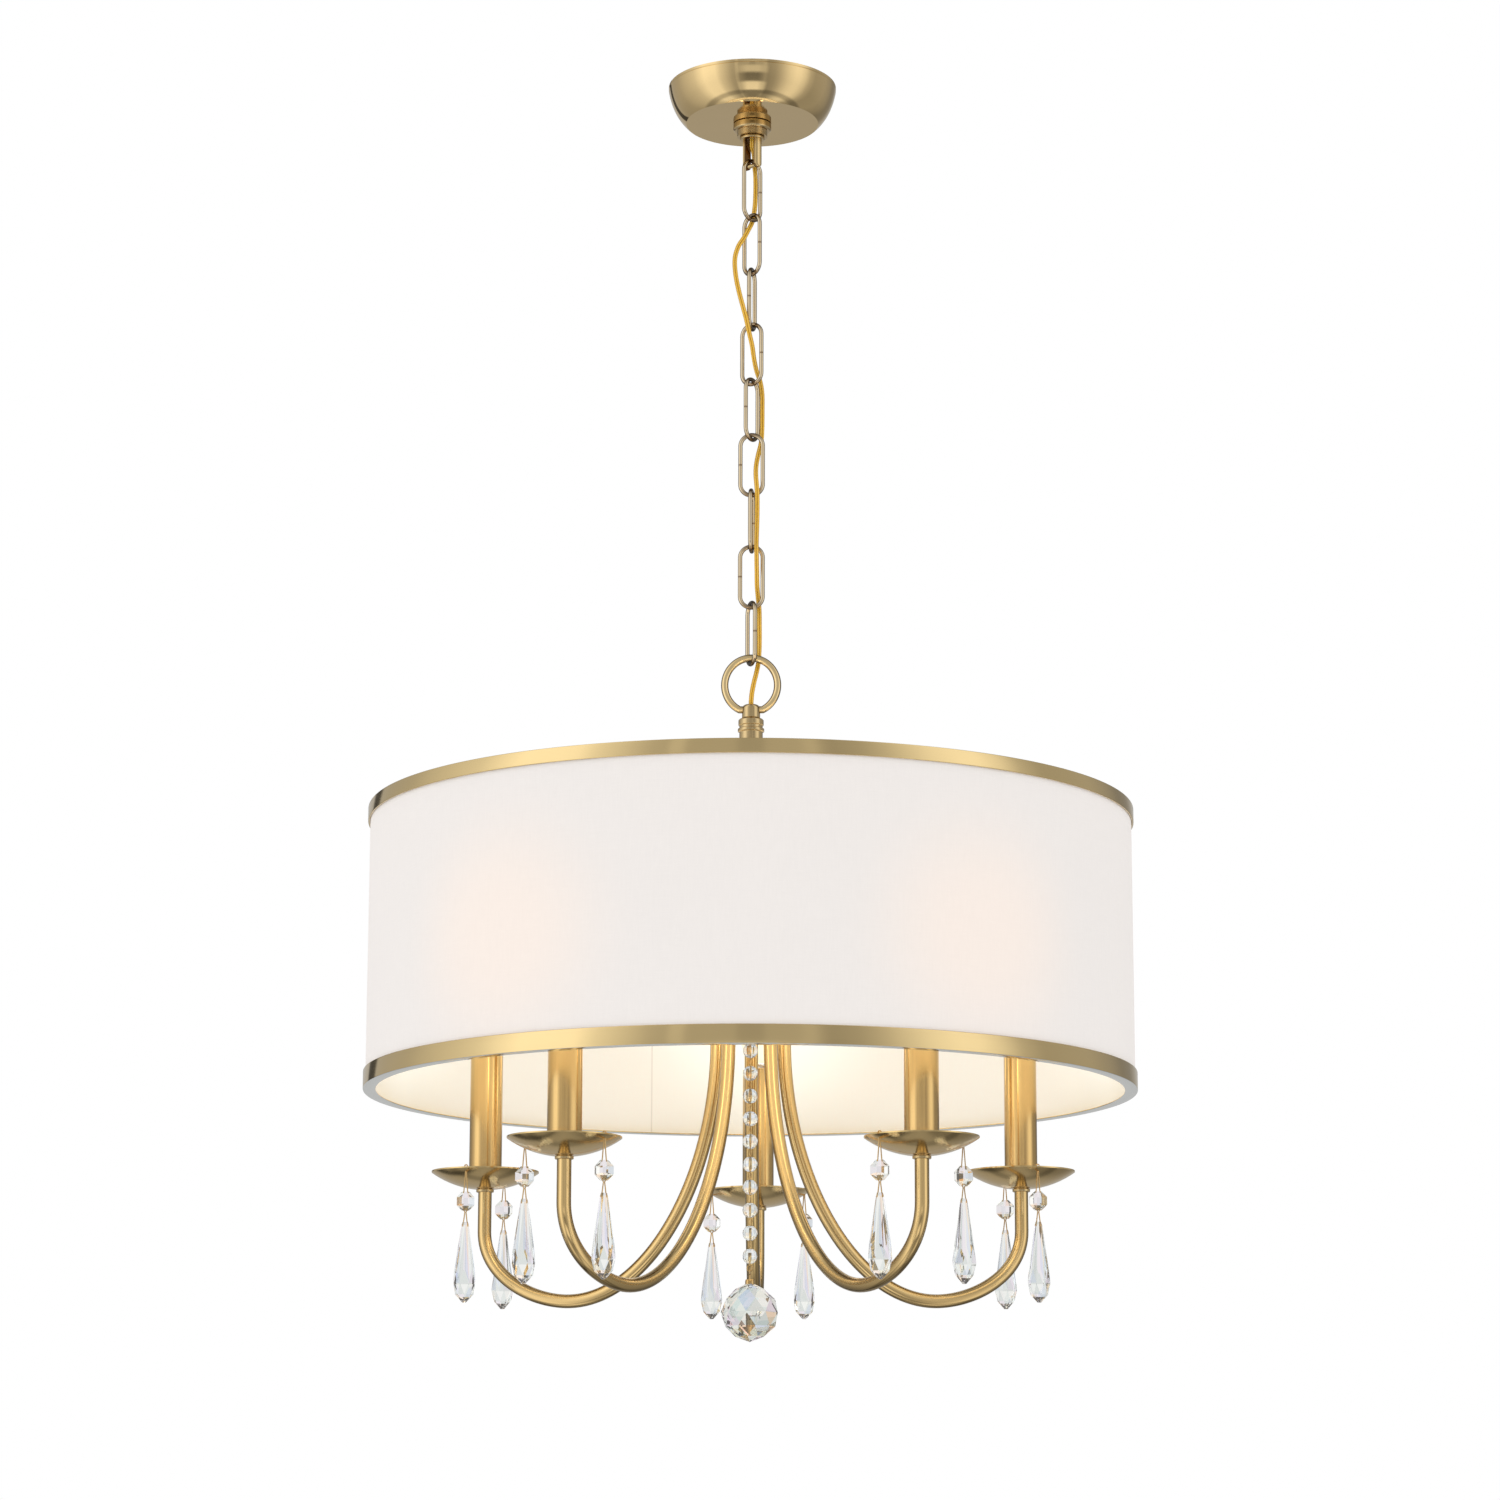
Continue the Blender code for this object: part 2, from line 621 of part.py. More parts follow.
def top_collar():
    """Turned collar under the ring holder; its barrel reaches down to the spider."""
    tier_under = top_collar_top - TOP_TIER_HEIGHT
    band_top = tier_under - TOP_GROOVE_HEIGHT
    band_under = band_top - TOP_BAND_HEIGHT
    stub_hole = HOLDER_STUB_RADIUS + GAP
    stub_floor = holder_under - HOLDER_STUB - GAP
    thread_top = stem_top + STEM_TOP_THREAD + GAP
    outline = [(stub_hole, top_collar_top), (TOP_TIER_RADIUS - TOP_CHAMFER, top_collar_top),
               (TOP_TIER_RADIUS, top_collar_top - TOP_CHAMFER), (TOP_TIER_RADIUS, tier_under),
               (TOP_BARREL_RADIUS, tier_under), (TOP_BARREL_RADIUS, band_top),
               (TOP_BAND_RADIUS, band_top), (TOP_BAND_RADIUS, band_under),
               (TOP_BARREL_RADIUS, band_under), (TOP_BARREL_RADIUS, top_collar_under),
               (thread_hole, top_collar_under), (thread_hole, thread_top),
               (CORD_BORE, thread_top), (CORD_BORE, stub_floor), (stub_hole, stub_floor)]
    return turned("top_collar", outline, FITTING_SIDES)


def shade_fabric():
    """Fabric drum on its stiff liner, held between the lips of the two bands."""
    top = shade_top - BAND_LIP - GAP
    under = shade_under + BAND_LIP + GAP
    inner = FABRIC_RADIUS - FABRIC_WALL
    return turned("shade_fabric", [(FABRIC_RADIUS, top), (FABRIC_RADIUS, under),
                                   (inner, under), (inner, top)], SHADE_SIDES)


def shade_band(name, edge, depth, reach):
    """Metal band of an L section: a wall over the fabric's end and a lip across its edge."""
    inner = FABRIC_RADIUS + GAP
    outer = inner + BAND_WALL
    way = -1 if depth > 0 else 1
    lip = edge + way * BAND_LIP
    outline = [(outer, edge), (outer, edge - depth), (inner, edge - depth), (inner, lip),
               (outer - reach, lip), (outer - reach, edge)]
    return turned(name, outline, SHADE_SIDES)


def shade_spider():
    """Washer with three rods to a wire hoop inside the shade's top."""
    hoop_radius = FABRIC_RADIUS - FABRIC_WALL - SPIDER_SEAT - SPIDER_WIRE / 2
    height = (washer_top + washer_under) / 2
    washer = turned("washer", [(thread_hole, washer_top), (WASHER_RADIUS, washer_top),
                               (WASHER_RADIUS, washer_under), (thread_hole, washer_under)],
                    TUBE_SIDES)
    turns = [2 * pi * step / SHADE_SIDES for step in range(SHADE_SIDES)]
    hoop = evaluated_mesh(wire("hoop", [level(turn, hoop_radius, height) for turn in turns],
                               SPIDER_WIRE / 2, True, THIN_WIRE_STEPS), "hoop")
    inner_end = (thread_hole + WASHER_RADIUS) / 2
    rods = []
    for number in range(SPIDER_ARMS):
        direction = pi / 2 + 2 * pi * number / SPIDER_ARMS
        rods.append(bar("rod", SPIDER_WIRE / 2, level(direction, inner_end, height),
                        level(direction, hoop_radius, height), SMALL_SIDES))
    return combined("shade_spider", washer, rods + [hoop], "UNION")


def centre_stem():
    """Stem tube with a threaded end at each side: spider above, hub and cap below."""
    top = stem_top + STEM_TOP_THREAD
    under = cap_top - STEM_CAP_THREAD
    outline = [(STEM_BORE, top), (NIPPLE_RADIUS, top), (NIPPLE_RADIUS, stem_top),
               (STEM_RADIUS, stem_top), (STEM_RADIUS, stem_under), (NIPPLE_RADIUS, stem_under),
               (NIPPLE_RADIUS, under), (STEM_BORE, under)]
    return turned("centre_stem", outline, TUBE_SIDES)


def hub_cover():
    """Lid of the arm hub."""
    under = cover_top - COVER_HEIGHT
    return turned("hub_cover", [(thread_hole, cover_top), (HUB_RADIUS, cover_top),
                                (HUB_RADIUS, under), (thread_hole, under)], HUB_SIDES)


def arm_directions():
    """Level direction of each arm, in order."""
    return [ARM_TURN_START + 2 * pi * step / ARM_COUNT for step in (0, 1, 4, 2, 3)]


def arm_hub():
    """Cup whose floor carries the arms and whose inside holds the wire joints."""
    floor = hub_under + HUB_FLOOR
    inner = HUB_RADIUS - HUB_WALL
    cup = turned("arm_hub", [(HUB_RADIUS, hub_top), (HUB_RADIUS, hub_under),
                             (thread_hole, hub_under), (thread_hole, floor), (inner, floor),
                             (inner, hub_top)], HUB_SIDES)
    holes = []
    for direction in arm_directions():
        low = level(direction, ARM_ROOT, hub_under - OVERRUN)
        high = level(direction, ARM_ROOT, floor + OVERRUN)
        holes.append(bar("arm_hole", ARM_RADIUS + GAP, low, high, BORE_SIDES))
    return combined("arm_hub", cup, holes, "DIFFERENCE")


def hub_cap():
    """Finial nut that closes the hub from below and lets the bead string out."""
    thread_end = cap_top - STEM_CAP_THREAD - GAP
    floor = cap_under + CAP_FLOOR
    outline = [(thread_hole, cap_top), (CAP_RADIUS, cap_top), (CAP_RADIUS, cap_top - CAP_STRAIGHT),
               (CAP_FOOT_RADIUS, cap_under), (CAP_HOLE, cap_under), (CAP_HOLE, floor),
               (CAP_CAVITY_FOOT, floor), (thread_hole, thread_end)]
    return turned("hub_cap", outline, TUBE_SIDES)


def arm_line():
    """Centre line of an arm as vectors (radius, 0, height), from the hub's floor to the tip."""
    root = Vector((ARM_ROOT, 0, arm_bend_top))
    belly = Vector((ARM_BELLY, 0, arm_lowest))
    end = Vector((ARM_REACH, 0, arm_bend_end))
    points = [root]
    points += bezier(root, root - Vector((0, 0, ARM_FALL_HANDLE)),
                     belly - Vector((ARM_BELLY_HANDLE, 0, 0)), belly, FALL_STEPS)
    points += bezier(belly, belly + Vector((ARM_SCROLL_HANDLE, 0, 0)),
                     end - Vector((0, 0, ARM_RISE_HANDLE)), end, RISE_STEPS)
    return points


def arm_tube():
    """Bent tube with a shoulder inside the hub, a flange under the pan and a spigot above it."""
    line = arm_line()
    top = Vector((ARM_ROOT, 0, hub_under + ARM_STUB))
    tip = Vector((ARM_REACH, 0, flange_top + ARM_SPIGOT))
    outside = evaluated_mesh(wire("arm", [top] + line + [tip], ARM_RADIUS, False, THICK_WIRE_STEPS),
                             "arm")
    shoulder_under = hub_under + HUB_FLOOR + GAP
    shoulder = bar("shoulder", ARM_SHOULDER_RADIUS, (ARM_ROOT, 0, shoulder_under),
                   (ARM_ROOT, 0, shoulder_under + ARM_SHOULDER_HEIGHT), BORE_SIDES)
    flange = bar("flange", FLANGE_RADIUS, (ARM_REACH, 0, flange_top - FLANGE_HEIGHT),
                 (ARM_REACH, 0, flange_top), BORE_SIDES)
    solid = combined("arm", outside, [shoulder, flange], "UNION")
    past = Vector((0, 0, OVERRUN))
    bore = evaluated_mesh(wire("bore", [top + past] + line + [tip + past],
                               ARM_RADIUS - ARM_WALL, False, BORE_WIRE_STEPS), "bore")
    return combined("arm", solid, [bore], "DIFFERENCE")


def drip_pan():
    """Shallow spun dish with a flat seat in the middle and two holes for the drops."""
    radii = [PAN_FLAT + (PAN_RADIUS - PAN_FLAT) * step / ARC_STEPS
             for step in range(ARC_STEPS + 1)]
    hole = ARM_RADIUS + GAP
    outline = [(hole, 0)]
    outline += [(radius, pan_rise(radius)) for radius in radii]
    outline += [(radius, pan_rise(radius) + PAN_WALL) for radius in reversed(radii)]
    outline += [(hole, PAN_WALL)]
    dish = turned("drip_pan", outline, PAN_SIDES)
    holes = []
    for side in (-1, 1):
        place = Vector((0, side * PAN_HOLE_CIRCLE, 0))
        high = Vector((0, 0, pan_rise(PAN_RADIUS) + PAN_WALL + OVERRUN))
        holes.append(bar("drop_hole", PAN_HOLE_RADIUS, place, place + high, SMALL_SIDES))
    return combined("drip_pan", dish, holes, "DIFFERENCE")


def candle_sleeve():
    """Smooth tube over the socket, standing on the pan; its foot is at the origin."""
    inner = SLEEVE_RADIUS - SLEEVE_WALL
    return turned("candle_sleeve", [(SLEEVE_RADIUS, SLEEVE_HEIGHT), (SLEEVE_RADIUS, 0),
                                    (inner, 0), (inner, SLEEVE_HEIGHT)], TUBE_SIDES)


def lamp_socket():
    """Candle socket: a foot over the arm's spigot, a wire space and the lamp's bore."""
    outer = SLEEVE_RADIUS - SLEEVE_WALL - GAP
    height = socket_top - socket_under
    spigot_hole = ARM_RADIUS + GAP
    spigot_room = flange_top + ARM_SPIGOT + GAP - socket_under
    lamp_floor = height - SOCKET_LAMP_DEPTH
    space_top = lamp_floor - SOCKET_FLOOR
    inner = outer - SOCKET_WALL
    outline = [(spigot_hole, 0), (SOCKET_FOOT_RADIUS, 0), (SOCKET_FOOT_RADIUS, SOCKET_FOOT_HEIGHT),
               (outer, SOCKET_FOOT_HEIGHT), (outer, height), (SOCKET_LAMP_BORE, height),
               (SOCKET_LAMP_BORE, lamp_floor), (SOCKET_CONTACT_HOLE, lamp_floor),
               (SOCKET_CONTACT_HOLE, space_top), (inner, space_top), (inner, spigot_room),
               (spigot_hole, spigot_room)]
    return turned("lamp_socket", outline, BORE_SIDES)


def cut_section(half_width, half_depth, height):
    """Eight-cornered section of a cut crystal."""
    corners = [pi / SMALL_SIDES + 2 * pi * step / SMALL_SIDES for step in range(SMALL_SIDES)]
    reach = 1 / cos(pi / SMALL_SIDES)
    return [(half_width * reach * cos(turn), half_depth * reach * sin(turn), height)
            for turn in corners]


def crystal_drop():
    """Headed pin, octagon bead and long drop as one piece; the head's middle is the origin."""
    neck = sqrt(PIN_HEAD_RADIUS ** 2 - PIN_RADIUS ** 2)
    sections = [cut_section(PIN_RADIUS, PIN_RADIUS, PIN_HEAD_RADIUS)]
    sections.append(cut_section(PIN_HEAD_RADIUS, PIN_HEAD_RADIUS, 0))
    sections.append(cut_section(PIN_RADIUS, PIN_RADIUS, -neck))
    half = BEAD_SIZE / 2
    flat = half * sin(pi / SMALL_SIDES) / cos(pi / SMALL_SIDES)
    for rise, width, depth in ((half, flat, PIN_RADIUS), (flat, half, BEAD_THICKNESS / 2),
                               (-flat, half, BEAD_THICKNESS / 2), (-half, flat, PIN_RADIUS)):
        sections.append(cut_section(width, depth, rise - BEAD_DROP))
    for down, width, depth in ((-BEAD_DROP - half - EYE_WIRE, PIN_RADIUS, PIN_RADIUS),
                               (-DROP_START, PIN_RADIUS, PIN_RADIUS)):
        sections.append(cut_section(width, depth, down))
    for length_share, width_share, depth_share in DROP_OUTLINE_SHARES:
        sections.append(cut_section(DROP_WIDTH / 2 * width_share,
                                    DROP_THICKNESS / 2 * depth_share,
                                    -DROP_START - GAP - DROP_LENGTH * length_share))
    return lofted("crystal_drop", sections)


def eye(name, direction, height):
    """Small wire ring in the upright plane through a level direction."""
    turns = [2 * pi * step / SMALL_SIDES for step in range(SMALL_SIDES)]
    points = [level(direction, EYE_RADIUS * cos(turn), height + EYE_RADIUS * sin(turn))
              for turn in turns]
    return evaluated_mesh(wire(name, points, EYE_WIRE / 2, True, THIN_WIRE_STEPS), name)


def bead_chain():
    """String of round beads with a headed pin at its top, which is the origin, and an eye."""
    head_foot = sqrt(PIN_HEAD_RADIUS ** 2 - PIN_RADIUS ** 2)
    outline = [(0, PIN_HEAD_RADIUS), (PIN_HEAD_RADIUS * sin(pi / 4), PIN_HEAD_RADIUS * cos(pi / 4)),
               (PIN_HEAD_RADIUS, 0), (PIN_RADIUS, -head_foot)]
    waist = asin(PIN_RADIUS / STRING_BEAD_RADIUS)
    for number in range(STRING_BEADS):
        middle = (0, -STRING_FIRST_BEAD - STRING_PITCH * number)
        outline += arc(middle, STRING_BEAD_RADIUS, STRING_BEAD_RADIUS, pi / 2 - waist,
                       waist - pi / 2, ARC_STEPS)
    eye_middle = eye_height - string_pivot
    eye_top = eye_middle + EYE_RADIUS
    outline += [(PIN_RADIUS, eye_top), (0, eye_top)]
    beads = turned("bead_chain", outline, SMALL_SIDES)
    return combined("bead_chain", beads, [eye("eye", 0, eye_middle)], "UNION")


def crystal_ball():
    """Cut ball on an eye that is linked through the string's eye; the joint is the origin."""
    own_eye = EYE_WIRE + GAP - EYE_RADIUS
    eye_foot = own_eye - EYE_RADIUS
    cap_top_height = eye_foot - BALL_STEM
    top = cap_top_height - BALL_CAP_HEIGHT
    half = BALL_HEIGHT / 2
    outline = [(0, eye_foot), (PIN_RADIUS, eye_foot), (PIN_RADIUS, cap_top_height),
               (BALL_CAP_RADIUS, cap_top_height), (BALL_CAP_RADIUS, top)]
    outline += [(BALL_RADIUS * out_share, top - half + half * up_share)
                for up_share, out_share in BALL_OUTLINE_SHARES]
    outline += [(0, top - BALL_HEIGHT)]
    ball = turned("crystal_ball", outline, BORE_SIDES)
    return combined("crystal_ball", ball, [eye("eye", pi / 2, own_eye)], "UNION")


def supply_cord():
    """Clear cord through nipple, hanger, chain, ring, holder, collar and stem to the hub."""
    points = [Vector(point) * MILLIMETRE for point in CORD_ROUTE_MM]
    route = [Vector((0, 0, -GAP))] + smooth_route(points, CORD_POINT_SPACING)
    route.append(Vector((0, 0, holder_under)))
    route.append(Vector((0, 0, hub_under + HUB_FLOOR)))
    return wire("supply_cord", route, CORD_RADIUS, False, THICK_WIRE_STEPS)


def build_ceiling_side():
    """Everything that stays with the ceiling."""
    steel = finish("zinc_steel", (0.55, 0.55, 0.56), 1.0, 0.4)
    brass = finish("polished_brass", (0.56, 0.44, 0.24), 1.0, 0.25)
    clear = finish("cord_plastic", (0.75, 0.46, 0.08), 0.0, 0.3)
    add_piece("ceiling_crossbar", ceiling_crossbar(), steel)
    add_piece("canopy_nipple", canopy_nipple(), steel)
    add_piece("crossbar_locknut", crossbar_locknut(), steel)
    add_piece("canopy_cup", canopy_cup(), brass)
    add_piece("canopy_collar", canopy_collar(), brass)
    add_piece("chain_hanger", chain_hanger(), brass, turn=HANGER_TURN)
    add_piece("supply_cord", supply_cord(), clear)


def build_chain():
    """Links from the hanger's pin down, each with its origin on the wire above."""
    pale_brass = finish("chain_brass", (0.62, 0.52, 0.36), 1.0, 0.3)
    first = link_curve("first_link", HANGER_PIN)
    other = link_curve("link", LINK_WIRE)
    for number, (pivot, turn) in enumerate(zip(link_pivots, LINK_TURNS), start=1):
        shape = first if number == 1 else other
        add_piece(f"chain_link_{number}", shape, pale_brass, (0, 0, pivot), turn)
    satin = finish("ring_brass", (0.60, 0.45, 0.22), 1.0, 0.25)
    add_piece("suspension_ring", ring_curve(), satin, (0, 0, ring_pivot))


def build_shade(fixture):
    """Ring holder, top collar, shade and stem."""
    satin = finish("satin_brass", (0.53, 0.40, 0.20), 1.0, 0.35)
    cloth = finish("shade_cloth", (0.88, 0.85, 0.83), 0.0, 0.9)
    band = finish("band_brass", (0.45, 0.36, 0.18), 1.0, 0.35)
    steel = finish("painted_steel", (0.80, 0.78, 0.72), 0.0, 0.4)
    centre = (0, 0, 0)
    add_piece("ring_holder", ring_holder(), satin, centre, 0, fixture)
    add_piece("top_collar", top_collar(), satin, centre, 0, fixture)
    add_piece("shade_fabric", shade_fabric(), cloth, centre, 0, fixture)
    top_ring = shade_band("shade_top_ring", shade_top, TOP_BAND_DEPTH, TOP_LIP_REACH)
    bottom_ring = shade_band("shade_bottom_ring", shade_under, -BOTTOM_BAND_DEPTH,
                             BOTTOM_LIP_REACH)
    add_piece("shade_top_ring", top_ring, band, centre, 0, fixture)
    add_piece("shade_bottom_ring", bottom_ring, band, centre, 0, fixture)
    add_piece("shade_spider", shade_spider(), steel, centre, 0, fixture)
    add_piece("centre_stem", centre_stem(), satin, centre, 0, fixture)


def build_arms(fixture):
    """Hub with its cover and cap, and at each arm the tube, pan, sleeve, socket and drops."""
    satin = finish("arm_brass", (0.53, 0.40, 0.20), 1.0, 0.3)
    pan_brass = finish("pan_brass", (0.50, 0.40, 0.21), 1.0, 0.22)
    ceramic = finish("socket_plastic", (0.85, 0.84, 0.80), 0.0, 0.5)
    crystal = finish("crystal", (0.95, 0.95, 0.95), 0.0, 0.02, 1.0)
    add_piece("hub_cover", hub_cover(), satin, (0, 0, 0), 0, fixture)
    add_piece("arm_hub", arm_hub(), satin, (0, 0, 0), 0, fixture)
    add_piece("hub_cap", hub_cap(), satin, (0, 0, 0), 0, fixture)
    tube = arm_tube()
    pan = drip_pan()
    sleeve = candle_sleeve()
    socket = lamp_socket()
    drop = crystal_drop()
    for number, direction in enumerate(arm_directions(), start=1):
        add_piece(f"arm_{number}", tube, satin, (0, 0, 0), direction, fixture)
        pan_place = level(direction, ARM_REACH, pan_under)
        add_piece(f"bobeche_{number}", pan, pan_brass, pan_place, direction, fixture)
        add_piece(f"candle_sleeve_{number}", sleeve, satin,
                  level(direction, ARM_REACH, sleeve_under), direction, fixture)
        add_piece(f"lamp_socket_{number}", socket, ceramic,
                  level(direction, ARM_REACH, socket_under), direction, fixture)
        for offset, side in enumerate((-1, 1)):
            hole = level(direction + pi / 2, side * PAN_HOLE_CIRCLE, drop_pivot)
            place = hole + level(direction, ARM_REACH, 0)
            add_piece(f"pendant_{2 * number - 1 + offset}", drop, crystal, place, 0, fixture)
    string = add_piece("bead_chain", bead_chain(), crystal, (0, 0, string_pivot), 0, fixture)
    ball = add_piece("crystal_ball", crystal_ball(), crystal)
    ball.parent = string
    ball.location = (0, 0, ball_pivot - string_pivot)


clear_scene()
build_ceiling_side()
build_chain()
fixture_axis = add_axis("fixture_axis", (0, 0, fixture_pivot))
build_shade(fixture_axis)
build_arms(fixture_axis)
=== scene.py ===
import json
from math import acos, asin, cos, hypot, pi, radians, sin, sqrt

import bmesh
import bpy
from mathutils import Matrix, Vector


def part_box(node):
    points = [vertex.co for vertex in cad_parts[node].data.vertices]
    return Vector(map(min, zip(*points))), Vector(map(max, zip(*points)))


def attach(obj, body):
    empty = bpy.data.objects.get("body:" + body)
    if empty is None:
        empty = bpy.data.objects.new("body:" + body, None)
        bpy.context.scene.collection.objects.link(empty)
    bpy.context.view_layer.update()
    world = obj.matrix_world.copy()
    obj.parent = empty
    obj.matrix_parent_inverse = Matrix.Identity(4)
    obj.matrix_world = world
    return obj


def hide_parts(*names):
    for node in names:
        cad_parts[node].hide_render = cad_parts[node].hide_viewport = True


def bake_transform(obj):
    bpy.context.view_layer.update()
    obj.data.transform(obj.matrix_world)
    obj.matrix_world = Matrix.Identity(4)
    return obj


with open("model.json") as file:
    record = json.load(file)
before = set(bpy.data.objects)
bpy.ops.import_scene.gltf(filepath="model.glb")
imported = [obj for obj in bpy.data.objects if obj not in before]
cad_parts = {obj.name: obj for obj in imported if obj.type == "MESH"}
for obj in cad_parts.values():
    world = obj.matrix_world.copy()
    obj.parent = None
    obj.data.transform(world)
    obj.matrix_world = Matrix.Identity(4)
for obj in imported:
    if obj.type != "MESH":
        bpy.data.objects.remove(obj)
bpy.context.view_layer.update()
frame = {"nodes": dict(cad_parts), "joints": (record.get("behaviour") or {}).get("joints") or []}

# Studio: the camera's place and long lens are those of the photograph, a little below the shade
# and looking up. White surroundings whose reflection has soft panels and dark gaps, as polished
# metal shows them, and a pale floor far below, which metal shows as part of the surroundings.
CAMERA_DISTANCE = 3.032
CAMERA_HEIGHT = -1.1335
CAMERA_TURN = radians(1.7)
CAMERA_PITCH = radians(11.56)
CAMERA_ROLL = radians(0.12)
FOCAL_LENGTH = 100.92
SENSOR_WIDTH = 36.0
PICTURE_SHIFT = -1 / 1500
FLOOR_HEIGHT = -1.9
FLOOR_SIZE = 14.0

scene = bpy.context.scene
scene.view_settings.view_transform = "Standard"
camera = bpy.data.objects.new("camera", bpy.data.cameras.new("camera"))
bpy.context.collection.objects.link(camera)
camera.data.sensor_width = SENSOR_WIDTH
camera.data.lens = FOCAL_LENGTH
camera.data.shift_x = PICTURE_SHIFT
camera.data.clip_start = 0.05
camera.matrix_world = (Matrix.Rotation(CAMERA_TURN, 4, "Z")
                       @ Matrix.Translation((0, -CAMERA_DISTANCE, CAMERA_HEIGHT))
                       @ Matrix.Rotation(pi / 2 + CAMERA_PITCH, 4, "X")
                       @ Matrix.Rotation(CAMERA_ROLL, 4, "Z"))
scene.camera = camera


def add_node(tree, kind, at=None, **settings):
    """A node of a kind; settings name its properties, and at sets its input sockets."""
    node = tree.nodes.new(kind)
    for key, value in settings.items():
        setattr(node, key, value)
    for socket, value in (at or {}).items():
        if isinstance(value, bpy.types.NodeSocket):
            tree.links.new(value, node.inputs[socket])
        else:
            node.inputs[socket].default_value = value
    return node


def value_of(tree, operation, first, second=0.0, third=0.0):
    """The result of a Math node."""
    return add_node(tree, "ShaderNodeMath", {0: first, 1: second, 2: third},
                    operation=operation).outputs[0]


def blend_of(tree, share, first, second):
    """A colour between two colours."""
    node = add_node(tree, "ShaderNodeMix", {0: share, 6: first, 7: second}, data_type="RGBA")
    return node.outputs[2]


def scaled(tree, colour, amount):
    """A colour times an amount."""
    return add_node(tree, "ShaderNodeVectorMath", {0: colour, "Scale": amount},
                    operation="SCALE").outputs[0]


def mapped(tree, value, start, end, low, high, **settings):
    """A value mapped from start and end to low and high, and held between them."""
    return add_node(tree, "ShaderNodeMapRange", {0: value, 1: start, 2: end, 3: low, 4: high},
                    **settings).outputs[0]


def tinted(tree, first, second):
    """A colour times a colour."""
    return add_node(tree, "ShaderNodeMix", {0: 1.0, 6: first, 7: second}, data_type="RGBA",
                    blend_type="MULTIPLY").outputs[2]

def ramp_of(tree, share, stops, smooth=True):
    """A grey or a colour read from a ramp of (place, brightness or colour) stops."""
    node = add_node(tree, "ShaderNodeValToRGB", {0: share})
    node.color_ramp.interpolation = "EASE" if smooth else "LINEAR"
    elements = node.color_ramp.elements
    while len(elements) < len(stops):
        elements.new(0.5)
    for element, (place, colour) in zip(elements, stops):
        element.position = place
        if not isinstance(colour, tuple):
            colour = (colour, colour, colour)
        element.color = (*colour, 1.0)
    return node.outputs[0]


world = bpy.data.worlds.new("white studio")
scene.world = world
world.use_nodes = True
sky = world.node_tree
sky.nodes.clear()
ray = add_node(sky, "ShaderNodeLightPath")
direction = add_node(sky, "ShaderNodeTexCoord").outputs["Generated"]
front = add_node(sky, "ShaderNodeMapping",
                 {0: direction, 2: (0, 0, pi / 2 - CAMERA_TURN)}, vector_type="POINT")
around = add_node(sky, "ShaderNodeTexGradient", {0: front.outputs[0]}, gradient_type="RADIAL")


def elevation_place(degrees):
    """Where a direction's elevation lies on a ramp that runs from straight down to straight up."""
    return 0.5 + 0.5 * sin(radians(degrees))


# Brightness of the surroundings that metal and glass reflect. By turn: soft panels, and narrow
# (middle, half width, edge, factor) strips. By height: layers, and the desk below the camera.
SOFT_PANELS = (
    (-180, 0.52), (-136, 0.45), (-120, 0.50), (-110, 0.62), (-96, 0.76), (-87, 0.87), (-78, 1.12),
    (-70, 1.32), (-52, 1.26), (-45, 0.96), (-37, 0.76), (-29, 0.55), (-22, 0.49), (12, 0.49),
    (18, 0.53), (23, 0.39), (32, 0.46), (39, 0.60), (46, 0.80), (54, 1.02), (63, 1.16), (70, 1.14),
    (78, 0.92), (86, 0.58), (95, 0.43), (118, 0.45), (132, 0.36), (142, 0.26), (152, 0.27),
    (166, 0.48), (180, 0.52))
NARROW_STRIPS = ((-150, 3.8, 1.6, 0.15), (-21.4, 1.6, 1.4, 1.30), (0.0, 3.6, 0.8, 0.84),
                 (17.4, 1.5, 1.2, 1.08))
LAYERS = (
    (-90, 0.62), (-80, 0.66), (-74, 0.74), (-58, 0.76), (-54, 0.46), (-48, 0.46), (-44, 0.84),
    (-20, 0.86), (-6, 0.96), (4, 1.00), (26, 1.00), (50, 0.90), (90, 0.70))
DESK = (
    (-90, 0.50), (-72, 0.50), (-67, 0.26), (-49, 0.26), (-46, 1.04), (-32, 0.98), (-28, 0.24),
    (-16, 0.20), (-12, 0.72), (-5, 0.72))
DESK_SIDE, DESK_FADE = 8, 24
DESK_EDGE, DESK_END = -5, -2
GLASS_SHARE = 0.28
LIGHTING = ((0.00, 0.98), (0.25, 1.03), (0.36, 1.11), (0.45, 0.98), (0.55, 0.97), (0.65, 1.03),
            (0.75, 0.96), (1.00, 0.98))
circle = around.outputs["Fac"]
panels = ramp_of(sky, circle, [(0.5 + degrees / 360, shade) for degrees, shade in SOFT_PANELS],
                 smooth=False)
strips = 1.0
for middle, half, edge, factor in NARROW_STRIPS:
    off = value_of(sky, "ABSOLUTE", value_of(sky, "SUBTRACT", circle, 0.5 + middle / 360))
    strip = mapped(sky, off, half / 360, (half + edge) / 360, factor, 1.0)
    strips = value_of(sky, "MULTIPLY", strip, strips)
height = add_node(sky, "ShaderNodeSeparateXYZ", {0: direction}).outputs[2]
rise = value_of(sky, "MULTIPLY_ADD", height, 0.5, 0.5)
layers, desk = [ramp_of(sky, rise, [(elevation_place(degrees), shade) for degrees, shade in table],
                        smooth=False) for table in (LAYERS, DESK)]
reflected = tinted(sky, panels, scaled(sky, layers, strips))
ahead = value_of(sky, "ABSOLUTE", value_of(sky, "SUBTRACT", circle, 0.5))
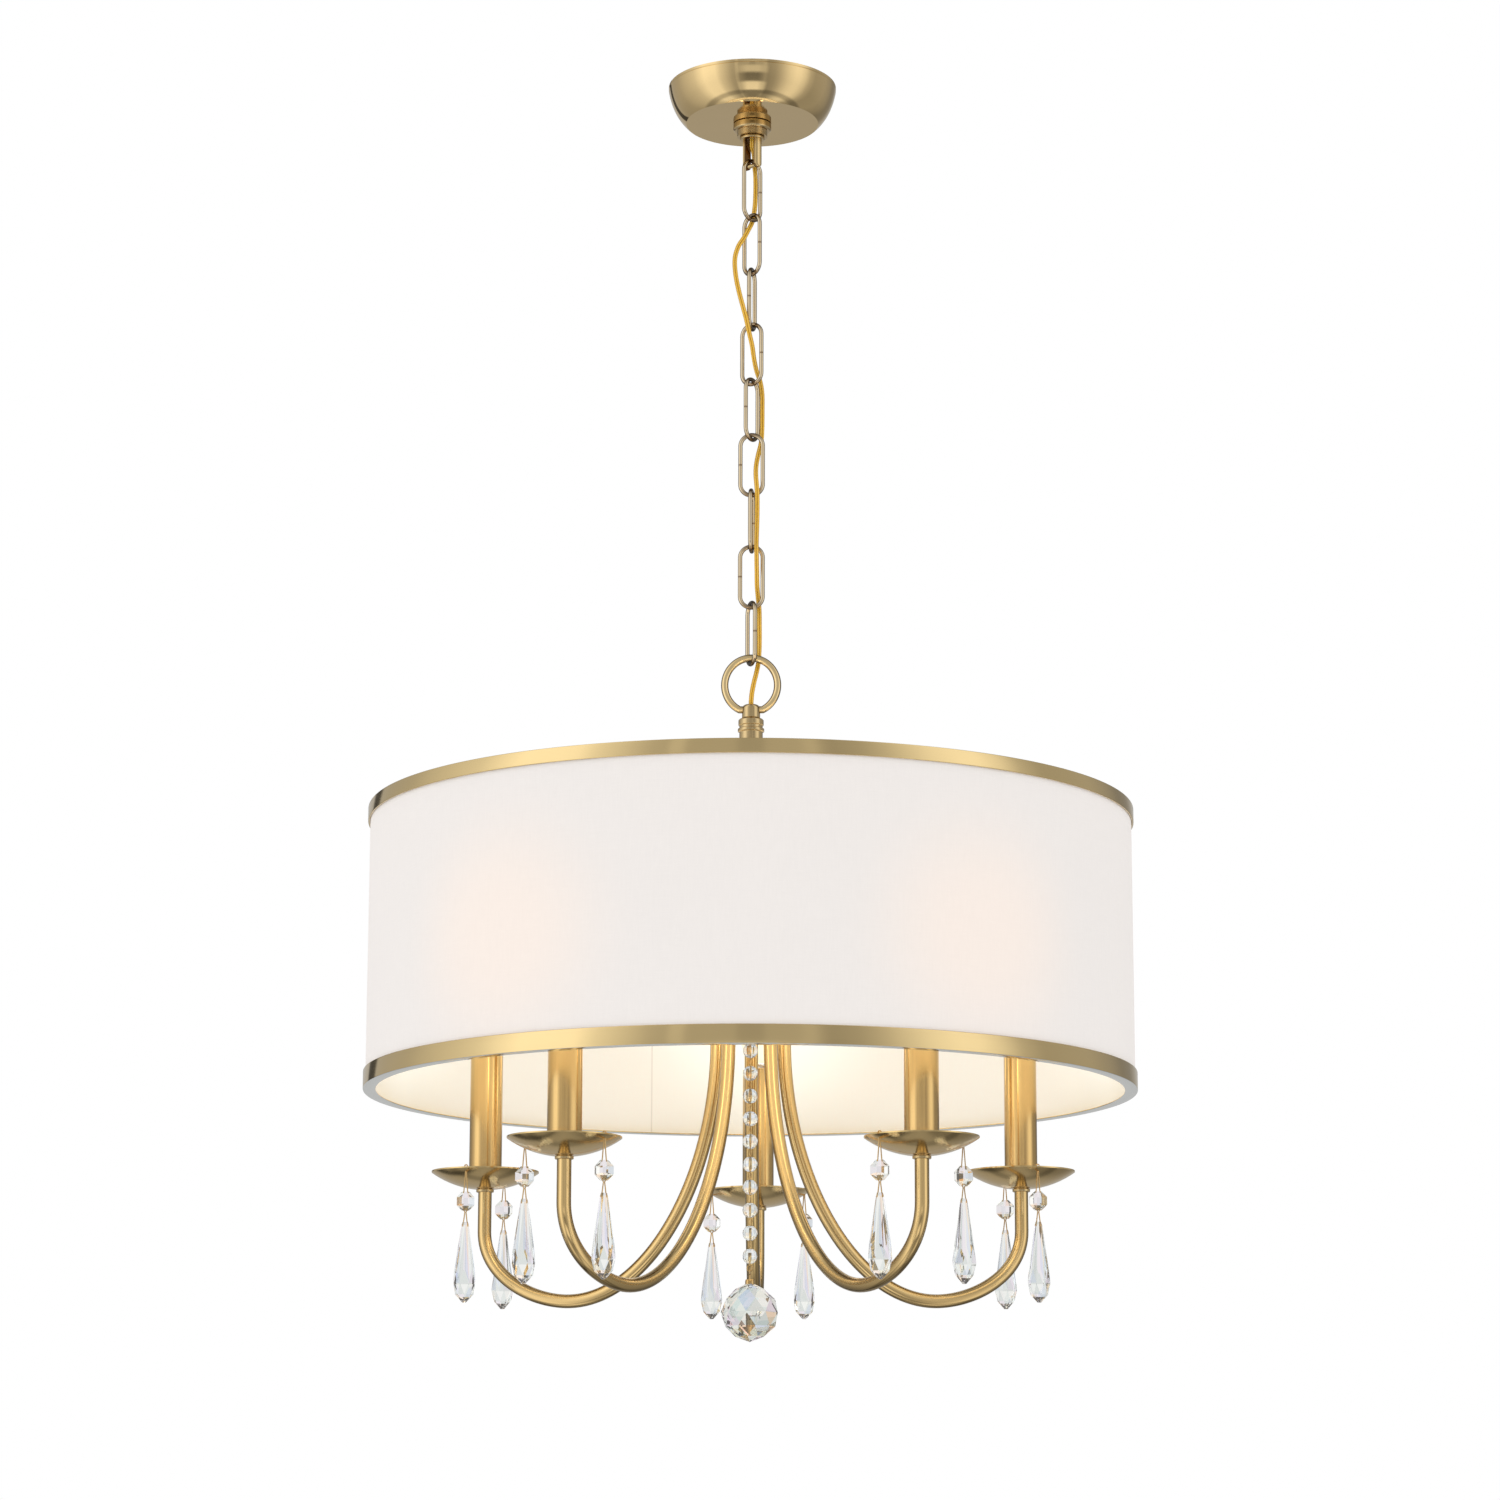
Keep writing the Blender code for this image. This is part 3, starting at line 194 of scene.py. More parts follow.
in_front = mapped(sky, ahead, DESK_SIDE / 360, DESK_FADE / 360, 1.0, 0.0)
below = mapped(sky, rise, elevation_place(DESK_EDGE), elevation_place(DESK_END), 1.0, 0.0)
reflected = blend_of(sky, value_of(sky, "MULTIPLY", in_front, below), reflected, desk)
through = blend_of(sky, GLASS_SHARE, (1.0, 1.0, 1.0, 1), reflected)
lighting = ramp_of(sky, circle, LIGHTING)
seen = blend_of(sky, ray.outputs["Is Glossy Ray"], lighting, reflected)
seen = blend_of(sky, ray.outputs["Is Transmission Ray"], seen, through)
seen = blend_of(sky, ray.outputs["Is Camera Ray"], seen, (1, 1, 1, 1))
backdrop = add_node(sky, "ShaderNodeBackground", {0: seen, 1: 1.0})
add_node(sky, "ShaderNodeOutputWorld", {0: backdrop.outputs[0]})


def new_material(name, **inputs):
    """A Principled material, its node tree and its shader, with plain inputs set."""
    made = bpy.data.materials.new(name)
    made.use_nodes = True
    shader = made.node_tree.nodes["Principled BSDF"]
    for key, value in inputs.items():
        shader.inputs[key.replace("_", " ")].default_value = value
    return made, made.node_tree, shader


def link_piece(name, mesh, *materials):
    """An object at the origin with a finished mesh and its materials."""
    piece = bpy.data.objects.new(name, mesh)
    bpy.context.collection.objects.link(piece)
    for material in materials:
        mesh.materials.append(material)
    return piece


floor_paint, tree, shader = new_material("floor paint", Roughness=0.9)
speckle = add_node(tree, "ShaderNodeTexNoise",
                   {0: add_node(tree, "ShaderNodeTexCoord").outputs["Object"], 2: 3.0})
paint = ramp_of(tree, speckle.outputs[0], ((0.3, 0.93), (0.7, 0.96)))
tree.links.new(paint, shader.inputs["Base Color"])
clear = add_node(tree, "ShaderNodeBsdfTransparent")
in_metal = add_node(tree, "ShaderNodeLightPath").outputs["Is Glossy Ray"]
floor_finish = add_node(tree, "ShaderNodeMixShader", {0: in_metal, 1: shader.outputs[0],
                                                      2: clear.outputs[0]})
tree.links.new(floor_finish.outputs[0], tree.nodes["Material Output"].inputs[0])
half = FLOOR_SIZE / 2
floor_mesh = bpy.data.meshes.new("floor")
floor_mesh.from_pydata([(-half, -half, FLOOR_HEIGHT), (half, -half, FLOOR_HEIGHT),
                        (half, half, FLOOR_HEIGHT), (-half, half, FLOOR_HEIGHT)],
                       [], [(0, 1, 2, 3)])
link_piece("floor", floor_mesh, floor_paint)

# Supply cord: two cores under a clear golden sheath, lightly twisted. It comes through the nipple
# and hanger, winds down through the links and enters the ring holder. It is cut in stretches, one
# about each joint.
CORE_RADIUS = 0.00092
CORE_OFFSET = 0.00088
CORE_JOIN = 0.12
CORD_SWAY = 0.35
CORD_SWAY_LENGTH = 0.17
CORD_STEP = 0.0022
GAP = 0.0003
CORD_ROUTE = [
    (0, 0, -41.0), (-0.2, 1.0, -45.5), (1.0, 3.6, -50.5), (1.5, 5.6, -55.0), (1.5, 7.0, -59.5),
    (2.2, 7.9, -66.0), (2.4, 8.0, -76.0), (2.2, 6.2, -88.0), (1.4, 5.4, -97.0), (-0.1, 5.6, -104.5),
    (-3.0, 3.4, -111.5), (-6.0, 0.2, -118.5), (-10.2, -2.0, -126.0), (-12.8, -3.0, -136.0),
    (-12.2, -4.6, -149.0), (-9.6, -7.2, -163.0), (-6.2, -10.4, -177.0), (-3.9, -10.6, -186.0),
    (-1.6, -7.4, -196.5), (0.4, -3.6, -205.0), (1.6, -0.8, -213.5), (3.4, 2.8, -222.0),
    (6.2, 6.8, -230.0), (7.5, 9.6, -239.0), (7.6, 9.8, -252.0), (7.5, 9.6, -266.0),
    (6.8, 8.4, -277.0), (4.6, 5.6, -287.5), (3.3, 2.6, -296.5), (3.2, -0.2, -304.5),
    (3.8, -3.6, -311.5), (4.3, -5.3, -319.0), (4.4, -5.7, -331.0), (4.2, -5.6, -345.0),
    (3.9, -5.4, -358.0), (4.0, -4.2, -369.0), (4.1, -1.4, -379.0), (4.2, 1.8, -388.5),
    (4.9, 4.6, -397.0), (5.7, 5.4, -406.5), (5.9, 5.2, -420.0), (5.9, 5.5, -434.0),
    (5.3, 5.6, -445.0), (3.9, 4.3, -453.5), (2.0, 2.3, -462.0), (0.6, 0.7, -470.0), (0, 0, -477.0)]

joints = {joint["name"]: joint for joint in frame["joints"]}


def smooth_line(points, spacing):
    """Points at an even spacing on a smooth curve through the given ones."""
    padded = [points[0] * 2 - points[1]] + points + [points[-1] * 2 - points[-2]]
    fine = []
    for before, start, end, after in zip(padded, padded[1:], padded[2:], padded[3:]):
        for step in range(12):
            share = step / 12
            fine.append((start * 2 + (end - before) * share
                         + (before * 2 - start * 5 + end * 4 - after) * share ** 2
                         + (start * 3 - before - end * 3 + after) * share ** 3) / 2)
    fine.append(points[-1])
    lengths = [0.0]
    for start, end in zip(fine, fine[1:]):
        lengths.append(lengths[-1] + (end - start).length)
    count = max(2, round(lengths[-1] / spacing))
    line = []
    index = 0
    for step in range(count + 1):
        wanted = lengths[-1] * step / count
        while index < len(fine) - 2 and lengths[index + 1] < wanted:
            index += 1
        share = (wanted - lengths[index]) / (lengths[index + 1] - lengths[index])
        line.append(fine[index].lerp(fine[index + 1], share))
    return line


def finished_mesh(shape, mesh, angle=35.0, merge=1e-6):
    """Merge, turn outwards and smooth a bmesh, sharp above an angle in degrees, into a mesh."""
    bmesh.ops.remove_doubles(shape, verts=shape.verts, dist=merge)
    bmesh.ops.recalc_face_normals(shape, faces=shape.faces)
    if shape.calc_volume(signed=True) < 0:
        bmesh.ops.reverse_faces(shape, faces=shape.faces)
    shape.to_mesh(mesh)
    shape.free()
    mesh.shade_smooth()
    mesh.set_sharp_from_angle(angle=radians(angle))
    return mesh


def bridge(shape, first, second):
    """Faces between two rings of corners, of which one may be a single point repeated."""
    for here in range(len(first)):
        there = (here + 1) % len(first)
        corners = (first[here], first[there], second[there], second[here])
        unique = list(dict.fromkeys(corners))
        if len(unique) > 2:
            shape.faces.new(unique)


def swept_mesh(name, line, section, start_length):
    """Skin a section of (across, out) points along a line, swaying a little about it.

    The attribute straight holds the section's own points and the length along the line, for
    patterns that follow the piece. The length reached is given back for the next stretch."""
    shape = bmesh.new()
    straight = shape.verts.layers.float_vector.new("straight")
    rings = []
    length = start_length
    side = None
    for index, point in enumerate(line):
        ahead = line[min(index + 1, len(line) - 1)] - line[max(index - 1, 0)]
        ahead.normalize()
        if side is None:
            side = Vector((1, 0, 0)) - ahead * ahead.x
        side = (side - ahead * side.dot(ahead)).normalized()
        out = ahead.cross(side)
        if index:
            length += (point - line[index - 1]).length
        ring = []
        turn = CORD_SWAY * sin(2 * pi * length / CORD_SWAY_LENGTH)
        for across, away in section:
            x = across * cos(turn) - away * sin(turn)
            y = across * sin(turn) + away * cos(turn)
            corner = shape.verts.new(point + side * x + out * y)
            corner[straight] = (across, away, length)
            ring.append(corner)
        rings.append(ring)
    for first, second in zip(rings, rings[1:]):
        bridge(shape, first, second)
    shape.faces.new(list(reversed(rings[0])))
    shape.faces.new(rings[-1])
    return finished_mesh(shape, bpy.data.meshes.new(name)), length


sheath, tree, shader = new_material(
    "golden sheath", Roughness=0.22, IOR=1.5, Specular_IOR_Level=0.5, Coat_Weight=0.25)
place = add_node(tree, "ShaderNodeAttribute", attribute_name="straight").outputs["Vector"]
from_middle = value_of(tree, "ABSOLUTE", add_node(tree, "ShaderNodeSeparateXYZ",
                                                  {0: place}).outputs[0])
groove = value_of(tree, "DIVIDE", from_middle, CORE_RADIUS + CORE_OFFSET)
# Painted light: each core has a painted highlight along its middle, and painted shade darkens the
# groove between the cores and the sheath's outer edges.
gold_with_painted_light = ramp_of(tree, groove, ((0.00, (0.42, 0.20, 0.012)), (0.16, (0.72, 0.40, 0.035)),
                              (0.48, (0.86, 0.53, 0.065)), (0.78, (0.74, 0.42, 0.035)),
                              (1.00, (0.46, 0.23, 0.015))))
strands = add_node(tree, "ShaderNodeTexWave", {0: place, 1: 900.0, 2: 1.5}, wave_type="BANDS",
                   bands_direction="DIAGONAL").outputs["Fac"]
sheath_colour = tinted(tree, gold_with_painted_light, ramp_of(tree, strands, ((0.0, 0.86), (1.0, 1.0))))
tree.links.new(sheath_colour, shader.inputs["Base Color"])
# Painted glow: the sheath gives off a faint light in its own colour.
tree.links.new(sheath_colour, shader.inputs["Emission Color"])
shader.inputs["Emission Strength"].default_value = 0.10
bump = add_node(tree, "ShaderNodeBump", {0: 0.25, 1: 0.0002, "Height": strands})
tree.links.new(bump.outputs[0], shader.inputs["Normal"])

section = []
waist = acos(CORE_OFFSET / CORE_RADIUS) + CORE_JOIN
for side in (1, -1):
    for step in range(9):
        turn = -pi + waist + (2 * pi - 2 * waist) * step / 8
        section.append((side * (CORE_OFFSET + CORE_RADIUS * cos(turn)),
                        side * CORE_RADIUS * sin(turn)))
links = [f"link_{number}" for number in range(1, 10)]
chain_bodies = ["ceiling_mount"] + links + ["ring", "fixture"]
pivots = [Vector(joints[f"{body}_swing"]["pos_m"]) for body in chain_bodies[1:]]
route = smooth_line([Vector(point) * 0.001 for point in CORD_ROUTE], CORD_STEP)
route = [Vector((0, 0, -GAP))] + route + [Vector((0, 0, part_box("ring_holder")[0][2]))]
cuts = [(upper.z + lower.z) / 2 for upper, lower in zip(pivots, pivots[1:])]
stretches = [[] for _ in pivots]
for point in route:
    number = sum(1 for cut in cuts if point.z < cut)
    if number and stretches[number - 1] and not stretches[number]:
        stretches[number].append(stretches[number - 1][-1])
    stretches[number].append(point)
run = 0.0
for number, stretch in enumerate(stretches):
    mesh, run = swept_mesh(f"cord_{number + 1}", stretch, section, run)
    piece = link_piece(f"cord_{number + 1}", mesh, sheath)
    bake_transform(piece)
    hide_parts("supply_cord")

# Ceiling fixing: a zinc plated strap, a threaded tube and a lock nut inside the canopy. They are
# pressed and turned from steel and are seen only from above.
def grain_group():
    """Fine grain read from a vector: a tone around 1 for colours, and a height for bumps."""
    group = bpy.data.node_groups.new("fine grain", "ShaderNodeTree")
    for name, kind, default in (("Vector", "NodeSocketVector", (0, 0, 0)),
                                ("Stretch", "NodeSocketVector", (1, 1, 1)),
                                ("Fineness", "NodeSocketFloat", 400.0),
                                ("Contrast", "NodeSocketFloat", 0.1)):
        socket = group.interface.new_socket(name, in_out="INPUT", socket_type=kind)
        socket.default_value = default
    group.interface.new_socket("Tone", in_out="OUTPUT", socket_type="NodeSocketFloat")
    group.interface.new_socket("Height", in_out="OUTPUT", socket_type="NodeSocketFloat")
    source = add_node(group, "NodeGroupInput")
    scaled = add_node(group, "ShaderNodeVectorMath",
                      {0: source.outputs["Vector"], 1: source.outputs["Stretch"]},
                      operation="MULTIPLY")
    noise = add_node(group, "ShaderNodeTexNoise",
                     {0: scaled.outputs[0], 2: source.outputs["Fineness"], 3: 3.0, 4: 0.6})
    centred = value_of(group, "SUBTRACT", noise.outputs[0], 0.5)
    tone = value_of(group, "MULTIPLY_ADD", centred, source.outputs["Contrast"], 1.0)
    add_node(group, "NodeGroupOutput", {0: tone, 1: noise.outputs[0]})
    return group


fine_grain = grain_group()


def grain(tree, vector, stretch, fineness, contrast):
    """The fine grain group placed in a material."""
    node = add_node(tree, "ShaderNodeGroup")
    node.node_tree = fine_grain
    tree.links.new(vector, node.inputs["Vector"])
    node.inputs["Stretch"].default_value = stretch
    node.inputs["Fineness"].default_value = fineness
    node.inputs["Contrast"].default_value = contrast
    return node


def named(tree, attribute, output="Vector"):
    """A mesh attribute read in a material."""
    return add_node(tree, "ShaderNodeAttribute", attribute_name=attribute).outputs[output]


def speckled(name, colour, fineness, contrast, **inputs):
    """A material with grain in its colour; also gives its shader, its grain and that colour."""
    made, tree, shader = new_material(name, **inputs)
    spots = add_node(tree, "ShaderNodeTexCoord").outputs["Object"]
    speckles = grain(tree, spots, (1, 1, 1), fineness, contrast)
    base = scaled(tree, colour, speckles.outputs["Tone"])
    tree.links.new(base, shader.inputs["Base Color"])
    return made, shader, speckles, base

def metal(name, colour, roughness, stretch, fineness=1.0, contrast=0.12, lines=0.02, dark=None,
          brushed=0.0, drawn_out=0.0, rim=0.0, cloud=9.0):
    """Metal with brushed or drawn lines along the piece and a faint clouded lacquer.

    Stretch gives the lines' fineness around and along the piece; dark is the colour blended in
    where the mesh's tone mask is 1; brushed is the anisotropy of lines turned round the upright,
    and drawn_out that of lines along a bent tube; rim is how much painted shade darkens a round
    wire towards its outline."""
    made, tree, shader = new_material(name, Metallic=1.0)
    drawn = grain(tree, named(tree, "straight"), stretch, fineness, contrast)
    spots = add_node(tree, "ShaderNodeTexCoord").outputs["Object"]
    clouds = grain(tree, spots, (1, 1, 1), cloud, 0.14)
    tone = value_of(tree, "MULTIPLY", drawn.outputs["Tone"], clouds.outputs["Tone"])
    base = scaled(tree, colour, tone)
    # A second colour where the mesh's tone mask is 1: painted shade on the hanger legs' inner faces
    # and the chain links' ends, the dark weld on each link, and the near white underside of the
    # bottom band.
    if dark:
        base = blend_of(tree, named(tree, "wear", "Fac"), base, (*dark, 1))
    # Painted shade: the colour darkens towards a round wire's outline.
    if rim:
        turned_away = add_node(tree, "ShaderNodeLayerWeight", {0: 0.5}).outputs["Facing"]
        base = scaled(tree, base, mapped(tree, turned_away, 0.08, 0.55, 1.0, 1.0 - rim))
    tree.links.new(base, shader.inputs["Base Color"])
    rough = value_of(tree, "MULTIPLY_ADD", value_of(tree, "SUBTRACT", 1.0, tone), 0.5, roughness)
    tree.links.new(rough, shader.inputs["Roughness"])
    bump = add_node(tree, "ShaderNodeBump", {0: lines, 1: 0.0001,
                                             "Height": drawn.outputs["Height"]})
    tree.links.new(bump.outputs[0], shader.inputs["Normal"])
    if drawn_out:
        shader.inputs["Anisotropic"].default_value = drawn_out
        turned = add_node(tree, "ShaderNodeVectorTransform", {0: named(tree, "along")},
                          vector_type="VECTOR", convert_from="OBJECT", convert_to="WORLD")
        tree.links.new(turned.outputs[0], shader.inputs["Tangent"])
    if brushed:
        shader.inputs["Anisotropic"].default_value = brushed
        shader.inputs["Anisotropic Rotation"].default_value = 0.25
        around = add_node(tree, "ShaderNodeTangent", direction_type="RADIAL", axis="Z")
        tree.links.new(around.outputs[0], shader.inputs["Tangent"])
    return made


def dress(node, material):
    """Give a CAD node that keeps its shape a finished material."""
    materials = frame["nodes"][node].data.materials
    materials.clear()
    materials.append(material)


zinc, shader, spangle, _ = speckled("zinc plate", (0.62, 0.63, 0.66), 160.0, 0.35, Metallic=1.0)
zinc.node_tree.links.new(value_of(zinc.node_tree, "MULTIPLY_ADD", spangle.outputs["Height"], 0.3,
                                  0.2), shader.inputs["Roughness"])
for node in ("ceiling_crossbar", "canopy_nipple", "crossbar_locknut"):
    dress(node, zinc)

# Canopy: a bowl spun from thin brass sheet, with a rolled lip at the ceiling and a flat middle,
# finely brushed in circles and lacquered. A turned collar screws up the nipple and holds it.
CANOPY_SIDES = 144
CANOPY_WALL = 0.0010
CANOPY_LIP = 0.0025
CANOPY_FLAT = 0.0500
FIRST_BEND = radians(15)
LAST_BEND = radians(62)
BORE = 0.0051
COLLAR_NECK = 0.0115
COLLAR_FLANGE = 0.0057
COLLAR_BEVEL = 0.0012
COLLAR_GROOVE = 0.0005
COLLAR_RINGS = 4


def turned_mesh(name, outline, sides, centre=(0, 0), angle=35.0):
    """Spin an outline of (radius, height) about the upright line through a centre."""
    shape = bmesh.new()
    straight = shape.verts.layers.float_vector.new("straight")
    widest = max(radius for radius, _ in outline)
    length = 0.0
    rings = []
    for index, (radius, level) in enumerate(outline):
        if index:
            length += hypot(radius - outline[index - 1][0], level - outline[index - 1][1])
        if radius < 1e-7:
            pole = shape.verts.new((centre[0], centre[1], level))
            pole[straight] = (0, 0, length)
            rings.append([pole] * sides)
            continue
        ring = []
        for step in range(sides):
            turn = 2 * pi * step / sides
            corner = shape.verts.new((centre[0] + radius * cos(turn),
                                      centre[1] + radius * sin(turn), level))
            corner[straight] = (widest * cos(turn), widest * sin(turn), length)
            ring.append(corner)
        rings.append(ring)
    pairs = list(zip(rings, rings[1:]))
    if outline[0][0] > 1e-7:
        pairs.append((rings[-1], rings[0]))
    for first, second in pairs:
        bridge(shape, first, second)
    return finished_mesh(shape, bpy.data.meshes.new(name), angle)


def eased(outline, radius, steps=3, closed=True):
    """Round an outline's corners by at most a radius and by less than half an edge."""
    made = []
    count = len(outline)
    for index, here in enumerate(outline):
        if not closed and index in (0, count - 1):
            made.append(here)
            continue
        before = Vector(outline[index - 1])
        corner = Vector(here)
        after = Vector(outline[(index + 1) % count])
        back = before - corner
        on = after - corner
        if back.length < 1e-9 or on.length < 1e-9 or pi - back.angle(on) < radians(8):
            made.append(here)
            continue
        cut = min(radius, back.length * 0.45, on.length * 0.45)
        start = corner + back.normalized() * cut
        end = corner + on.normalized() * cut
        for step in range(steps + 1):
            share = step / steps
            point = start * (1 - share) ** 2 + corner * 2 * share * (1 - share) + end * share ** 2
            made.append((point.x, point.y))
    return made


def arc_points(centre, across, along, start, end, steps):
    """Points of an elliptic arc in (radius, height), with both ends."""
    turns = [start + (end - start) * step / steps for step in range(steps + 1)]
    return [(centre[0] + across * cos(turn), centre[1] + along * sin(turn)) for turn in turns]


def mount_piece(name, mesh, body, nodes, slot, *materials):
    """Link a finished mesh, ride it on a body and let it stand for its CAD nodes."""
    piece = link_piece(name, mesh, *materials)
    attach(piece, body)
    if nodes:
        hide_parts(*nodes)


def mount_turned(name, outline, sides, body, nodes, slot, material, radius=0.0, steps=3,
                 centre=(0, 0), angle=35.0, closed=True):
    """Turn an outline, its corners eased by a radius, and mount it."""
    if radius:
        outline = eased(outline, radius, steps, closed)
    mount_piece(name, turned_mesh(name, outline, sides, centre, angle), body, nodes, slot, material)


spun_brass = metal("spun brass", (0.76, 0.565, 0.28), 0.075, (60, 60, 3200), contrast=0.05,
                   lines=0.03, brushed=0.5)
low, high = map(Vector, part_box("canopy_cup"))
drop = high.z - low.z - CANOPY_LIP
across = (high.x - CANOPY_FLAT) / (cos(FIRST_BEND) - cos(LAST_BEND))
along = drop / (sin(LAST_BEND) - sin(FIRST_BEND))
centre = (high.x - across * cos(FIRST_BEND), high.z - CANOPY_LIP + along * sin(FIRST_BEND))
inner_bend = asin((centre[1] - low.z - CANOPY_WALL) / (along - CANOPY_WALL))
outline = [(high.x, high.z), (high.x, high.z - CANOPY_LIP * 0.6),
           (high.x - 0.0004, high.z - CANOPY_LIP * 0.8)]
outline += arc_points(centre, across, along, -FIRST_BEND, -LAST_BEND, 30)
outline += [(BORE, low.z), (BORE, low.z + CANOPY_WALL)]
outline += arc_points(centre, across - CANOPY_WALL, along - CANOPY_WALL, -inner_bend,
                      -FIRST_BEND, 30)
outline += [(high.x - CANOPY_WALL, high.z)]
mount_turned("canopy_bowl", outline, CANOPY_SIDES, "ceiling_mount", ["canopy_cup"],
             "polished_brass", spun_brass, angle=40.0)

turned_brass = metal("turned brass", (0.62, 0.46, 0.235), 0.13, (30, 30, 2600), contrast=0.06,
                     lines=0.01, brushed=0.3)
low, high = map(Vector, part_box("canopy_collar"))
under = high.z - COLLAR_FLANGE
groove = COLLAR_NECK - COLLAR_GROOVE
outline = [(BORE, high.z), (high.x, high.z), (high.x, under + COLLAR_BEVEL),
           (high.x - COLLAR_BEVEL, under), (COLLAR_NECK, under)]
pitch = (under - low.z) / COLLAR_RINGS
for number in range(COLLAR_RINGS):
    top = under - pitch * number
    outline += [(COLLAR_NECK, top - pitch * 0.15), (groove, top - pitch * 0.45),
                (groove, top - pitch * 0.6), (COLLAR_NECK, top - pitch * 0.9)]
outline += [(COLLAR_NECK, low.z), (BORE, low.z)]
mount_turned("canopy_collar_turned", outline, 72, "ceiling_mount", ["canopy_collar"],
             "polished_brass", turned_brass, 0.0005)

# Hanger: a turned ring with two flattened legs and a riveted cross pin, on which the first link
# hangs. The legs' outer faces follow the ring, and their inner faces carry painted shade in the
# gap.
HANGER_TURN = radians(-45)
HANGER_RADIUS = 0.00935
HANGER_RING = 0.0022
LEG_WIDTH = 0.0060
LEG_THICKNESS = 0.0040
LEG_CROWN = 0.0011
LEG_CHAMFER = 0.0004
PIN_RADIUS = 0.0016
low, high = map(Vector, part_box("chain_hanger"))
outline = [(BORE, high.z), (HANGER_RADIUS, high.z), (HANGER_RADIUS, high.z - HANGER_RING),
           (BORE, high.z - HANGER_RING)]
mount_turned("hanger_ring", outline, 72, "ceiling_mount", ["chain_hanger"], "polished_brass",
             turned_brass, 0.0006)


def leg_mesh(side, top, foot):
    """One leg: a bar whose outer face is rounded and whose foot is half round."""
    shape = bmesh.new()
    outer = HANGER_RADIUS - LEG_CROWN
    inner = outer - LEG_THICKNESS
    half = LEG_WIDTH / 2
    section = []
    for step in range(9):
        share = -1 + step / 4
        section.append((outer - LEG_CROWN * share * share, share * half))
    section += [(inner + LEG_CHAMFER, half), (inner, half - LEG_CHAMFER),
                (inner, -half + LEG_CHAMFER), (inner + LEG_CHAMFER, -half)]
    levels = [(top, 1.0), (foot + half, 1.0)]
    for step in range(1, 7):
        turn = pi / 2 * step / 6
        levels.append((foot + half * (1 - sin(turn)), max(0.12, cos(turn))))
    straight = shape.verts.layers.float_vector.new("straight")
    wear = shape.verts.layers.float.new("wear")
    rings = []
    for level, share in levels:
        ring = []
        for out, across in section:
            place = Vector((side * out, side * across * share, level))
            corner = shape.verts.new(Matrix.Rotation(HANGER_TURN, 3, "Z") @ place)
            corner[straight] = (out, across, level)
            # Painted shade: the leg's inner half, in the gap, is marked for the dark colour.
            corner[wear] = 1.0 if out < outer - LEG_THICKNESS / 2 else 0.0
            ring.append(corner)
        rings.append(ring)
    for first, second in zip(rings, rings[1:]):
        bridge(shape, first, second)
    shape.faces.new(rings[0])
    shape.faces.new(rings[-1])
    return finished_mesh(shape, bpy.data.meshes.new("hanger_leg"))


# Its dark colour is painted shade on the hanger legs' inner faces.
satin_brass = metal("satin brass", (0.78, 0.575, 0.28), 0.17, (500, 500, 14), contrast=0.06,
                    lines=0.0, dark=(0.15, 0.07, 0.022))
for number, side in enumerate((-1, 1), start=1):
    mount_piece(f"hanger_leg_{number}", leg_mesh(side, high.z - HANGER_RING / 2, low.z),
                "ceiling_mount", ["chain_hanger"], "polished_brass", satin_brass)


def open_tree(name, *inputs):
    """A geometry tree with its inputs (name, kind), and the node that gives them."""
    group = bpy.data.node_groups.new(name, "GeometryNodeTree")
    for socket, kind in (("Geometry", "Geometry"), *inputs, ("Material", "Material")):
        group.interface.new_socket(socket, in_out="INPUT", socket_type="NodeSocket" + kind)
    group.interface.new_socket("Geometry", in_out="OUTPUT", socket_type="NodeSocketGeometry")
    return group, add_node(group, "NodeGroupInput")


def wire_tree():
    """Geometry nodes: a round wire along the curve that comes in."""
    group, source = open_tree("round wire", ("Radius", "Float"), ("Sides", "Int"))
    result = round_wire(group, source.outputs["Geometry"], source.outputs["Radius"],
                        source.outputs["Sides"])
    finish_tree(group, result, source.outputs["Material"])
    return group


def round_wire(group, path, radius, sides):
    """Nodes that sweep a circle along a path and keep each point's straightened place and the
    path's direction there."""
    parameter = add_node(group, "GeometryNodeSplineParameter")
    length = add_node(group, "GeometryNodeCaptureAttribute", domain="POINT")
    length.capture_items.new("FLOAT", "Length")
    length.capture_items.new("VECTOR", "Along")
    group.links.new(path, length.inputs[0])
    group.links.new(parameter.outputs["Length"], length.inputs[1])
    group.links.new(add_node(group, "GeometryNodeInputTangent").outputs[0], length.inputs[2])
    circle = add_node(group, "GeometryNodeCurvePrimitiveCircle",
                      {"Resolution": sides, "Radius": radius})
    section = add_node(group, "GeometryNodeCaptureAttribute", domain="POINT")
    section.capture_items.new("VECTOR", "Place")
    group.links.new(circle.outputs[0], section.inputs[0])
    group.links.new(add_node(group, "GeometryNodeInputPosition").outputs[0], section.inputs[1])
    tube = add_node(group, "GeometryNodeCurveToMesh",
                    {0: length.outputs[0], 1: section.outputs[0], "Fill Caps": True})
    apart = add_node(group, "ShaderNodeSeparateXYZ", {0: section.outputs[1]})
    together = add_node(group, "ShaderNodeCombineXYZ",
                        {0: apart.outputs[0], 1: apart.outputs[1], 2: length.outputs[1]})
    result = tube.outputs[0]
    for name, value in (("straight", together.outputs[0]), ("along", length.outputs[2])):
        result = add_node(group, "GeometryNodeStoreNamedAttribute",
                          {0: result, "Name": name, "Value": value},
                          data_type="FLOAT_VECTOR", domain="POINT").outputs[0]
    return result


def finish_tree(group, geometry, material):
    """End a tree in real geometry with its material."""
    real = add_node(group, "GeometryNodeRealizeInstances", {0: geometry})
    painted = add_node(group, "GeometryNodeSetMaterial", {0: real.outputs[0], "Material": material})
    add_node(group, "NodeGroupOutput", {0: painted.outputs[0]})


